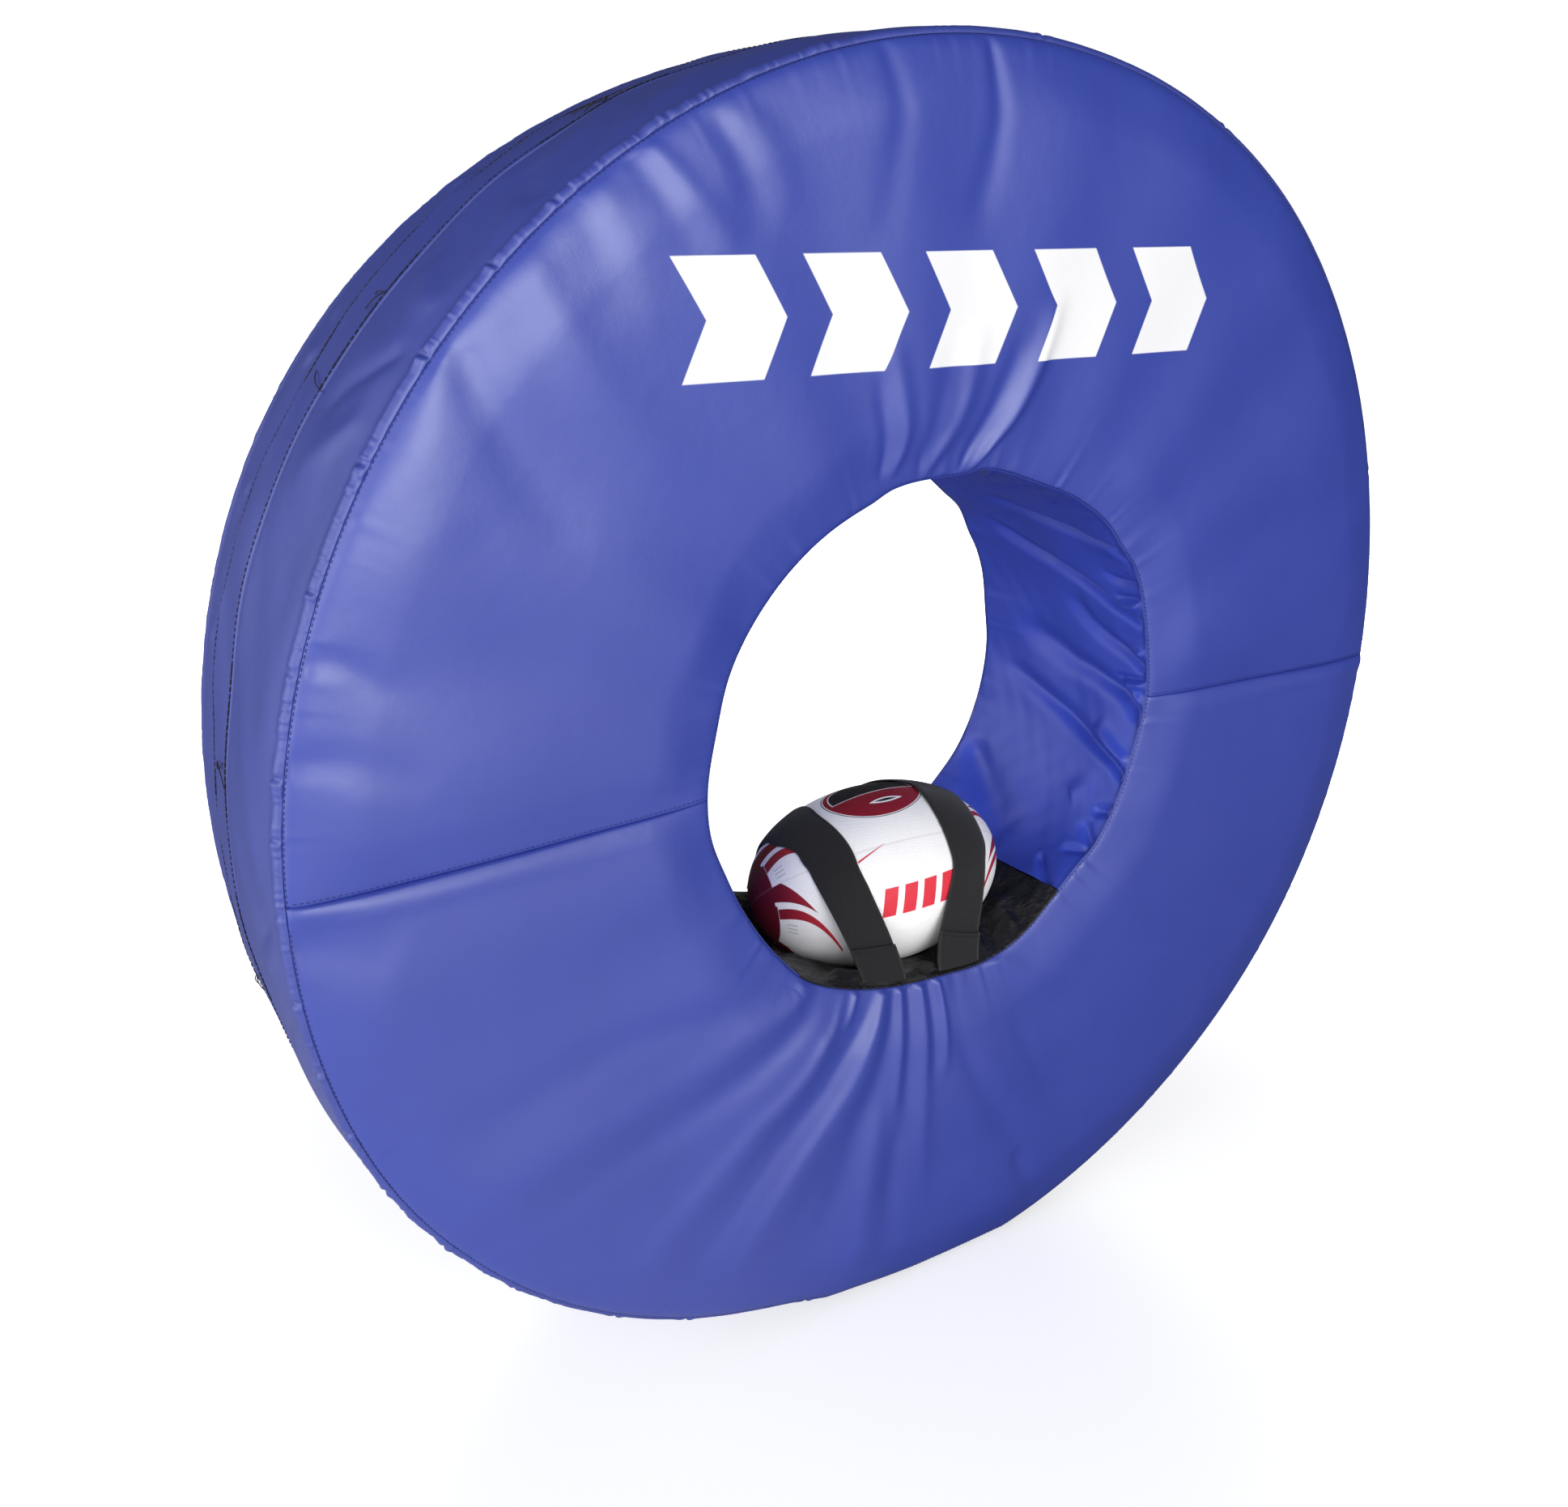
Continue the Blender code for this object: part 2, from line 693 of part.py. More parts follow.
def valve_hole(name, radius, cutters, parent):
    shape = bmesh.new()
    bmesh.ops.create_cone(
        shape,
        cap_ends=True,
        segments=VALVE_SEGMENTS,
        radius1=radius,
        radius2=radius,
        depth=2 * VALVE_STEM_LENGTH,
    )
    return add_cutter(name, shape, cutters, parent, valve_place())


def ball_panels(group, cutters, finishes, parent):
    """Four sewn quarters of the ball's cover, cut from one shell."""
    names = ("ball_panel_top", "ball_panel_back", "ball_panel_under", "ball_panel_front")
    head_hole = valve_hole(
        "head_hole", VALVE_HEAD_RADIUS + VALVE_CLEARANCE, cutters, parent
    )
    for n, name in enumerate(names):
        mesh = ellipsoid_mesh(
            name, BALL_LENGTH / 2, BALL_RADIUS, BALL_SEGMENTS, BALL_RINGS
        )
        smooth(mesh)
        piece = add_object(name, mesh, group, finishes[n % 2], parent)
        thicken(piece, PANEL_THICKNESS)
        turn = -(BALL_SEAM_TURN + n * math.pi / 2)
        wedge = quarter_wedge(f"wedge_{name}", turn, cutters, parent)
        cut(piece, wedge, "INTERSECT")
        if name == "ball_panel_back":
            cut(piece, head_hole, "DIFFERENCE")


def bladder(group, cutters, finish, parent):
    inset = PANEL_THICKNESS + 2 * SEAT_GAP
    mesh = ellipsoid_mesh(
        "bladder",
        BALL_LENGTH / 2 - inset,
        BALL_RADIUS - inset,
        BLADDER_SEGMENTS,
        BALL_RINGS,
    )
    smooth(mesh)
    piece = add_object("bladder", mesh, group, finish, parent)
    thicken(piece, BLADDER_THICKNESS)
    stem_hole = valve_hole(
        "stem_hole", VALVE_STEM_RADIUS + VALVE_CLEARANCE, cutters, parent
    )
    cut(piece, stem_hole, "DIFFERENCE")


def valve(group, finish, parent):
    """Valve head in the panel, with a stem through the bladder's wall."""
    head = PANEL_THICKNESS - SEAT_GAP
    profile = [
        (0, 0),
        (VALVE_HEAD_RADIUS, 0),
        (VALVE_HEAD_RADIUS, -head),
        (VALVE_STEM_RADIUS, -head),
        (VALVE_STEM_RADIUS, -VALVE_STEM_LENGTH),
        (0, -VALVE_STEM_LENGTH),
    ]
    mesh = turned(profile, steps=VALVE_SEGMENTS)
    mesh.transform(valve_place())
    smooth(mesh)
    add_object("valve", mesh, group, finish, parent)


# Straps


def strap_centre(shares, along):
    """Place of a strap's middle along the ball's axis, eased between its five named places."""
    place = clamp01(along) * (len(shares) - 1)
    n = min(int(place), len(shares) - 2)
    return BALL_LENGTH / 2 * blend(shares[n], shares[n + 1], ease(place - n))


def strap_foot(x, side):
    """The point of the bore's floor under a strap's end, seen from the ball: x is along its axis."""
    axis = BALL_AXES.col[0]
    foot = Vector((BALL_X + x, 0, side * (HALF_WIDTH - STRAP_INSET)))
    for _ in range(FOOT_ROUNDS):
        foot.y = BORE_RISE - math.sqrt(BORE_RADIUS**2 - foot.x**2) + STRAP_FOOT_GAP
        foot.x += (x - (foot - BALL_CENTRE).dot(axis)) / axis.x
    return BALL_AXES.transposed() @ (foot - BALL_CENTRE)


def strap_feet(x, side):
    """Foot of a strap across the ball's axis, the ball's radius there, and where they touch."""
    share = x / (BALL_LENGTH / 2 + STRAP_CLEARANCE)
    radius = (BALL_RADIUS + STRAP_CLEARANCE) * math.sqrt(1 - share**2)
    foot = strap_foot(x, side)
    toward = math.atan2(foot.y, side * foot.z)
    touch = toward + math.acos(radius / math.hypot(foot.y, foot.z))
    return foot.y, foot.z, radius, touch


def strap_point(x, along):
    """A point of the strap's inner side: along is 0 at the front foot and 1 at the back foot."""
    free = FREE_ROW_COUNT / STRAP_ROW_COUNT
    side = 1 if along < 0.5 else -1
    foot_y, foot_z, radius, touch = strap_feet(x, side)
    from_foot = along if side > 0 else 1 - along
    turn = blend(touch, math.pi / 2, clamp01((from_foot - free) / (0.5 - free)))
    point = Vector((x, radius * math.sin(turn), side * radius * math.cos(turn)))
    if from_foot < free:
        point = Vector((x, foot_y, foot_z)).lerp(point, from_foot / free)
    return BALL_CENTRE + BALL_AXES @ point


def unit_grid(columns, rows):
    """A flat grid from 0 to 1 both ways, made from the grid primitive."""
    shape = bmesh.new()
    bmesh.ops.create_grid(shape, x_segments=columns, y_segments=rows, size=0.5)
    mesh = bpy.data.meshes.new("grid")
    shape.to_mesh(mesh)
    shape.free()
    mesh.transform(Matrix.Translation((0.5, 0.5, 0)))
    return mesh


def strap_place(shares, across, along):
    """Sideways place and run of a strap's point; its rows lie square to its path."""
    length = math.pi * BALL_RADIUS + BALL_DIAMETER
    step = 1 / STRAP_ROW_COUNT
    before = strap_centre(shares, along - step / 2)
    after = strap_centre(shares, along + step / 2)
    lean = math.atan2(after - before, length * step)
    x = strap_centre(shares, along) + across * math.cos(lean)
    if 0 < along < 1:
        along = clamp01(along - across * math.sin(lean) / length)
    return x, along


def strap(name, shares, group, finish, frame):
    """An elastic strap from the front of the bore over the ball to the back."""

    def move(point):
        across = (point.x - 0.5) * STRAP_WIDTH
        x, along = strap_place(shares, across, point.y)
        return strap_point(x, along)

    mesh = reshape(unit_grid(STRAP_COLUMN_COUNT, STRAP_ROW_COUNT), move)
    smooth(mesh)
    piece = add_object(name, mesh, group, finish, frame)
    thicken(piece, STRAP_THICKNESS, 1)
    return piece


def strap_tab(name, shares, side, group, finish, frame):
    """The folded end of the webbing, sewn over a strap's foot."""

    def move(point):
        across = (point.x - 0.5) * STRAP_WIDTH
        foot_y, foot_z, radius, touch = strap_feet(strap_centre(shares, 0), side)
        rise_y = radius * math.sin(touch) - foot_y
        rise_z = side * radius * math.cos(touch) - foot_z
        free_length = math.hypot(rise_y, rise_z)
        along = TAB_HEIGHT / free_length * FREE_ROW_COUNT / STRAP_ROW_COUNT * point.y
        if side < 0:
            along = 1 - (TAB_HEIGHT / free_length * FREE_ROW_COUNT / STRAP_ROW_COUNT - along)
        x, along = strap_place(shares, across, along)
        out = Vector((0, -side * rise_z, side * rise_y)) / free_length
        return strap_point(x, along) + BALL_AXES @ out * (STRAP_THICKNESS + TAB_GAP)

    mesh = reshape(unit_grid(STRAP_COLUMN_COUNT, TAB_ROW_COUNT), move)
    smooth(mesh)
    piece = add_object(name, mesh, group, finish, frame)
    thicken(piece, TAB_THICKNESS, 1)
    return piece


def straps(group, strap_finish, tab_finish, frame):
    for hand, shares in (("left", LEFT_STRAP_SHARES), ("right", RIGHT_STRAP_SHARES)):
        strap(f"strap_{hand}", shares, group, strap_finish, frame)
        for side, end in ((1, "front"), (-1, "back")):
            tab = f"strap_tab_{hand}_{end}"
            strap_tab(tab, shares, side, group, tab_finish, frame)


def add_frame(name, group, location, turn, parent=None):
    frame = bpy.data.objects.new(name, None)
    group.objects.link(frame)
    frame.location = location
    frame.rotation_euler = turn
    frame.parent = parent
    return frame


def build():
    clear_scene()
    group = new_collection("tackle_ring")
    cutters = new_collection("cutters")
    ring = add_frame("ring_frame", group, (0, 0, AXIS_HEIGHT), (math.pi / 2, 0, 0))
    ball = add_frame("ball_frame", group, BALL_CENTRE, BALL_AXES.to_euler(), ring)

    blue_face = material("blue_vinyl_face", (0.075, 0.115, 0.46), 0.38)
    blue_tread = material("blue_vinyl_tread", (0.06, 0.075, 0.30), 0.5)
    blue_lining = material("blue_vinyl_lining", (0.035, 0.06, 0.30), 0.4)
    black_vinyl = material("black_vinyl", (0.012, 0.012, 0.013), 0.25)
    foam = material("foam", (0.62, 0.58, 0.45), 0.95)
    hook = material("hook_tape", (0.02, 0.02, 0.022), 0.8)
    loop = material("loop_tape", (0.03, 0.03, 0.033), 0.95)
    elastic = material("black_elastic", (0.014, 0.014, 0.015), 0.8)
    webbing = material("black_webbing", (0.012, 0.012, 0.013), 0.7)
    ball_white = material("ball_rubber_white", (0.86, 0.85, 0.85), 0.45)
    ball_red = material("ball_rubber_red", (0.45, 0.03, 0.05), 0.45)
    latex = material("bladder_latex", (0.08, 0.08, 0.08), 0.6)
    valve_rubber = material("valve_rubber", (0.05, 0.05, 0.05), 0.6)

    foam_core(group, foam, ring)
    face_panel("face_front_upper", group, blue_face, ring, True, True)
    face_panel("face_front_lower", group, blue_face, ring, True, False)
    face_panel("face_back_upper", group, blue_face, ring, False, True)
    face_panel("face_back_lower", group, blue_face, ring, False, False)
    tread_front_band(group, blue_tread, ring)
    tread_back_band(group, blue_tread, ring)
    closure(group, blue_tread, hook, loop, ring)
    trim = SEAM_GAP / 2 / BORE_RADIUS
    bore_sleeve(group, blue_lining, ring, trim)
    ball_cradle(group, black_vinyl, ring, trim)
    ball_panels(group, cutters, (ball_white, ball_red), ball)
    bladder(group, cutters, latex, ball)
    valve(group, valve_rubber, ball)
    straps(group, elastic, webbing, ring)


build()
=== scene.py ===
"""Looks of the tackle ring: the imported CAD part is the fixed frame, and each soft piece is made over it.

The ring's own coordinates are x across, y up from the ring's axis and z out of the front face.
Lengths are in metres, but the tables of folds are in millimetres, and their angles in degrees.
"""

import math

import bmesh
import bpy
import numpy as np
from mathutils import Matrix, Vector


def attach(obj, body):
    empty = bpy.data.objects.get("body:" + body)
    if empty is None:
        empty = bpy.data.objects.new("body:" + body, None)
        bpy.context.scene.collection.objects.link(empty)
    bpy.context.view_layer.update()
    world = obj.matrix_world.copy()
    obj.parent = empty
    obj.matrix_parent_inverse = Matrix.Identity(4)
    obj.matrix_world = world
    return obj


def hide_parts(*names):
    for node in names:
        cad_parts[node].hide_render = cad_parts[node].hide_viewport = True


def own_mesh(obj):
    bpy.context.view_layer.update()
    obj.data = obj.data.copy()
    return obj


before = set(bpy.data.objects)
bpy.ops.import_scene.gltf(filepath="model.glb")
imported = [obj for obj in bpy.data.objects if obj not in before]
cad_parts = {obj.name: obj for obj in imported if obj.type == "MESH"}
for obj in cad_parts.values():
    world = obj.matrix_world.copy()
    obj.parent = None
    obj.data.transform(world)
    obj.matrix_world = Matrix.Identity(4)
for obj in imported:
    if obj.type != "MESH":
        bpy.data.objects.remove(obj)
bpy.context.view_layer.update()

RING_RADIUS = 0.610
HALF_WIDTH = 0.128
CORNER_RADIUS = 0.009  # of the roll as the eye sees it, tighter than the solid's
TREAD_CROWN = 0.005
AXIS_HEIGHT = 0.598
BORE_RADIUS = 0.261
BORE_RISE = 0.009
RIM_SEAM_RADIUS = 0.6060
BORE_SEAM_RADIUS = 0.2625
SEAM_HEIGHT = 0.1255  # of the bore seams over the ring's middle plane
RIM_DROP = 0.0040  # of the rim seams under that
TREAD_HALF = 0.114
PRESS_DEPTH = 0.100
FLAP_FRONT = -0.0105
FLAP_BACK = -0.0630
SEAM_GAP = 0.0006
BALL_LENGTH = 0.268
BALL_DIAMETER = 0.185
BALL_CENTRE = np.array((0.0055, -0.1737, 0.010))
BALL_TURN = math.radians(14)  # the ball's right end lies this much further forward
BALL_TILT = math.radians(7)  # its right end stands this much higher
CRADLE_HALF = math.radians(39.375)
CRADLE_TRIM = 0.0023  # angle between the cradle's edge and the lining's, halved
BORE_SHAPE_END = 0.36  # radius out to which the bore's shape is felt
RIM_SHAPE_END = 0.60  # and the one from which the rim's is felt in full
DIP_TURN, DIP_REACH, DIP_SHARE = 2.06, 0.42, 0.016  # the back rim's dip: angles, and depth as a share
FLOOR_SOFT = 0.0025
DEGREE = math.radians(1)
SEAT_CLEARANCE = 0.0016  # round the ball, in the dip that it presses in the cradle
SEAT_SOFT = 0.0008

# How far the ring's rim stands out of a true circle: degrees round it, then thousandths of its radius
RIM_SHARES = (
    -180, 10, -166, 15, -153, 18, -143, 14, -133, 8, -119, -8, -106, -26, -99, -18, -90, -2, -75, 1, -55, 5, -34, 10,
    -14, 6, 0, 2, 16, 1, 33, 9, 46, 15, 54, 16, 67, 11, 80, 4, 100, 0, 125, 1, 141, 3, 160, 6,
)
# The same for the bore, at its front seam and at its back one
BORE_SHARES = (
    -172, -10, -162, -32, -150, -40, -139, -35, -127, -22, -116, -38, -103, -56, -89, -58, -76, -24, -65, -18,
    -53, -45, -44, -45, -35, -21, -24, -24, -14, -30, 0, -14, 12, -16, 21, -9, 31, 4, 38, -8, 46, -8, 56, -22,
    70, -42, 84, -29, 92, -41, 107, -19, 113, -26, 126, -14, 140, -5, 155, -2, 167, -15, 179, -7,
)
BORE_BACK_SHARES = (
    -170, -15, -140, -30, -110, -38, -90, -45, -70, -38, -50, -38, -40, -30, -30, -10, -18, -5, -2, -8, 8, -21,
    18, -13, 24, -14, 30, -21, 37, -12, 44, -32, 52, -38, 64, -22, 80, -35, 96, -16, 112, -28, 128, -10, 145, -18,
    165, -6,
)
BALL_AXES = np.array(Matrix.Rotation(-BALL_TURN, 3, "Y") @ Matrix.Rotation(BALL_TILT, 3, "Z"))


# Numbers


def ease(value, low=0.0, high=1.0):
    value = np.clip((value - low) / (high - low), 0, 1)
    return value * value * (3 - 2 * value)


def table_value(table, turn):
    """A smooth closed curve through degrees and thousandths over 1, read at an angle in radians."""
    at, value = np.reshape(table, (-1, 2)).T
    at = np.concatenate([np.radians(at) + lap for lap in (-math.tau, 0, math.tau)])
    value = np.tile(1 + value / 1000, 3)
    turn = (np.asarray(turn) + math.pi) % math.tau - math.pi
    n = np.clip(np.searchsorted(at, turn, side="right") - 1, 1, len(at) - 3)
    step = at[n + 1] - at[n]
    t = (turn - at[n]) / step
    slope_a = (value[n + 1] - value[n - 1]) / (at[n + 1] - at[n - 1]) * step
    slope_b = (value[n + 2] - value[n]) / (at[n + 2] - at[n]) * step
    a = 2 * t**3 - 3 * t**2 + 1
    return a * value[n] + (t**3 - 2 * t**2 + t) * slope_a + (1 - a) * value[n + 1] + (t**3 - t**2) * slope_b


def round_wave(turn, low, high, count, seed):
    """A smooth random wave round the ring, between about -1 and 1, from whole frequencies."""
    rng = np.random.default_rng(seed)
    total = np.zeros_like(turn)
    for _ in range(count):
        total = total + rng.uniform(0.5, 1) * np.sin(rng.integers(low, high + 1) * turn + rng.uniform(0, math.tau))
    return total / math.sqrt(count)


def flat_wave(x, y, short, long, count, seed):
    """A smooth random wave over a plane, with wavelengths between short and long."""
    rng = np.random.default_rng(seed)
    total = np.zeros_like(x)
    for _ in range(count):
        way, k = rng.uniform(0, math.pi), math.tau / rng.uniform(short, long)
        size, run = rng.uniform(0.5, 1), k * (x * math.cos(way) + y * math.sin(way))
        total = total + size * np.sin(run + rng.uniform(0, math.tau))
    return total / math.sqrt(count)


def pleats(turn, count, width, seed):
    """Narrow pleats at random places round the ring; width is in radians."""
    rng = np.random.default_rng(seed)
    places = (np.arange(count) + rng.uniform(-0.42, 0.42, count)) * math.tau / count
    sizes = rng.uniform(0.15, 1, count) ** 2
    widths = width * rng.uniform(0.6, 1.5, count)
    total = np.zeros_like(turn)
    for place, size, wide in zip(places, sizes, widths):
        off = np.angle(np.exp(1j * (turn - place)))
        near = np.abs(off) < 4 * wide
        rise = off[near] / wide
        total[near] += size * (np.exp(-rise * rise) - 0.7 * np.exp(-((rise - 1.5) ** 2)))
    return total


def curve_through(points, count=20):
    """Points along a smooth curve through the given ones."""
    padded = np.vstack([2 * points[0] - points[1], points, 2 * points[-1] - points[-2]])
    t = np.linspace(0, 1, count // (len(points) - 1) + 1)[:-1, None]
    made = []
    for p0, p1, p2, p3 in zip(padded, padded[1:], padded[2:], padded[3:]):
        bend = (2 * p0 - 5 * p1 + 4 * p2 - p3) * t**2 + (3 * p1 - p0 - 3 * p2 + p3) * t**3
        made.append(0.5 * (2 * p1 + (p2 - p0) * t + bend))
    return np.vstack([*made, points[-1:]])


def add_folds(height, x, y, rows, scale=(0.001, 0.001), strength=0.001):
    """Adds folds to a height field over the coordinates x and y.

    A row is the rise, the width at the start and the end, the share of crease, how steep one side is,
    and the course as x, y, x, y... A steepness over 0 makes the left side of the course steeper, and
    one under 0 the right side. The scale turns the course's numbers into metres.
    """
    for rise, wide_a, wide_b, crease, steep, *course in rows:
        line = curve_through(np.reshape(course, (-1, 2)) * scale)
        reach = 0.0032 * max(wide_a, wide_b)
        low, high = line.min(0) - reach, line.max(0) + reach
        near = (x > low[0]) & (x < high[0]) & (y > low[1]) & (y < high[1])
        if not near.any():
            continue
        px, py = x[near], y[near]
        best = np.full(px.shape, 1e9)
        along = np.zeros(px.shape)
        left = np.zeros(px.shape, bool)
        for n, (start, run) in enumerate(zip(line, np.diff(line, axis=0))):
            dx, dy = px - start[0], py - start[1]
            t = np.clip((dx * run[0] + dy * run[1]) / (run @ run), 0, 1)
            off = np.hypot(dx - t * run[0], dy - t * run[1])
            closer = off < best
            best[closer] = off[closer]
            along[closer] = (n + t[closer]) / (len(line) - 1)
            left[closer] = (run[0] * dy - run[1] * dx)[closer] > 0
        wide = 0.001 * (wide_a + (wide_b - wide_a) * along)
        wide = wide * np.where(left == (steep > 0), 1 - abs(steep), 1 + 0.5 * abs(steep))
        body = np.exp(-((best / wide) ** 2))
        edge = np.exp(-np.sqrt(best**2 + (0.15 * wide) ** 2) / (0.55 * wide))
        fade = ease(along, 0, 0.20) * (1 - along**4) * ease(1 - along, 0, 0.22)
        height[near] += strength * rise * fade * ((1 - crease) * body + crease * edge)


# Meshes


def to_world(x, y, z):
    return np.stack([x, -z, y + AXIS_HEIGHT], -1)


def new_object(name, data):
    item = bpy.data.objects.new(name, data)
    bpy.context.scene.collection.objects.link(item)
    return item


def smooth_object(name, points, faces):
    mesh = bpy.data.meshes.new(name)
    mesh.from_pydata(points.reshape(-1, 3).tolist(), [], faces.tolist())
    mesh.polygons.foreach_set("use_smooth", np.ones(len(faces), bool))
    return new_object(name, mesh)


def grid_object(name, points, uv, round_u=False, round_v=False, flip=False):
    """A quad mesh from a grid of world points, shaded smooth, with its UV map in metres."""
    nu, nv = points.shape[:2]
    number = np.arange(nu * nv).reshape(nu, nv)
    a = number if round_u else number[:-1]
    b = np.roll(number, -1, 0) if round_u else number[1:]
    quads = np.stack([a, b, np.roll(b, -1, 1), np.roll(a, -1, 1)], -1)
    quads = (quads if round_v else quads[:, :-1]).reshape(-1, 4)
    item = smooth_object(name, points, quads[:, ::-1] if flip else quads)
    mesh = item.data
    layer = mesh.uv_layers.new(name="metres")
    corners = np.empty(len(mesh.loops), np.int32)
    mesh.loops.foreach_get("vertex_index", corners)
    layer.data.foreach_set("uv", uv.reshape(-1, 2)[corners].astype(np.float32).ravel())
    mesh.update()
    return item


def dress(item, finish, body, slot, *nodes):
    """Gives a piece its look, the body that it rides on and the nodes that it stands for; its slot is not used."""
    item.data.materials.clear()
    item.data.materials.append(finish)
    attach(item, body)
    if nodes:
        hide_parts(*nodes)
    return item


def sew(name, centres, along, up, length, thick, lift, seed=1):
    """One mesh of short thread stitches at the given places; along and up are unit vectors there."""
    rng = np.random.default_rng(seed)
    rings = ((-0.5, 0.35), (-0.3, 1.0), (0.3, 1.0), (0.5, 0.35))
    sides = 6
    turns = np.arange(sides) * math.tau / sides
    shape = np.array([(run, wide * math.cos(t), wide * math.sin(t)) for run, wide in rings for t in turns])
    across = np.cross(along, up)
    size = rng.uniform(0.85, 1.12, len(centres))
    skew = rng.normal(0, 0.05, len(centres))
    along = along + across * skew[:, None]
    at = centres + up * (lift + rng.normal(0, 0.00006, len(centres)))[:, None]
    points = (
        at[:, None]
        + along[:, None] * (shape[None, :, 0] * length * size[:, None])[..., None]
        + across[:, None] * (shape[None, :, 1] * thick)[..., None]
        + up[:, None] * (shape[None, :, 2] * thick)[..., None]
    )
    one = np.arange(len(rings) * sides).reshape(-1, sides)
    quads = np.stack([one[:-1], np.roll(one[:-1], -1, 1), np.roll(one[1:], -1, 1), one[1:]], -1)
    faces = np.arange(len(centres))[:, None, None] * one.size + quads.reshape(-1, 4)
    return smooth_object(name, points, faces.reshape(-1, 4))


def unit(vectors):
    return vectors / np.linalg.norm(vectors, axis=-1, keepdims=True)


def along_line(line, step):
    """Even places along a line of points, with the direction at each."""
    far = np.concatenate([[0], np.cumsum(np.linalg.norm(np.diff(line, axis=0), axis=1))])
    places = np.arange(step / 2, far[-1], step)
    centres, ahead, behind = (
        np.stack([np.interp(places + off, far, line[:, n]) for n in range(3)], -1)
        for off in (0, step / 4, -step / 4)
    )
    return centres, unit(ahead - behind)


# The ring's shape


def rim_share(turn, z):
    """How far out the ring stands at its rim, over its nominal radius.

    The back rim is hidden but for its upper left: it has slow waves, and a dip where the photo's outline has one.
    """
    front = table_value(RIM_SHARES, turn)
    back = 1.004 + 0.004 * np.sin(turn * 3 + 1.0) + 0.003 * np.sin(turn * 5 + 2.0)
    from_dip = np.angle(np.exp(1j * (turn - DIP_TURN)))
    back = back - DIP_SHARE * np.exp(-((from_dip / DIP_REACH) ** 2))
    return front + (back - front) * ease(-z, -0.11, 0.12)


def bore_share(turn, z):
    """How far out the bore stands, over its nominal radius: its seams are drawn in and wavy."""
    front = table_value(BORE_SHARES, turn)
    back = table_value(BORE_BACK_SHARES, turn)
    return 1 + (front - 1) * ease(z, 0.02, SEAM_HEIGHT) + (back - 1) * ease(-z, 0.02, SEAM_HEIGHT)


def stand(radius, turn, z, raised=True):
    """x and y of places on the round ring, once it has its real outline and its foot is pressed on the floor.

    The rise of the bore over the ring's middle fades out towards the rim.
    """
    x, y = radius * np.cos(turn), radius * np.sin(turn)
    if raised:
        y = y + BORE_RISE * np.clip((RIM_SEAM_RADIUS - radius) / (RIM_SEAM_RADIUS - BORE_RADIUS), 0, 1)
    share = 1 + (rim_share(turn, z) - 1) * ease(radius, BORE_SHAPE_END, RIM_SHAPE_END)
    share = share + (bore_share(turn, z) - 1) * (1 - ease(radius, BORE_RADIUS, BORE_SHAPE_END))
    x, y = x * share, y * share
    radius = radius * share
    down = np.maximum(-y / np.maximum(np.hypot(x, y), 1e-6), 0.05)
    sag = np.maximum(0.0, RING_RADIUS - AXIS_HEIGHT / down)
    felt = np.clip((radius - RING_RADIUS + PRESS_DEPTH) / PRESS_DEPTH, 0, 1)
    shrink = (radius - np.where(y < 0, sag, 0) * felt) / radius
    x, y = x * shrink, y * shrink
    return x, FLOOR_SOFT * np.logaddexp(0, (y + AXIS_HEIGHT) / FLOOR_SOFT) - AXIS_HEIGHT


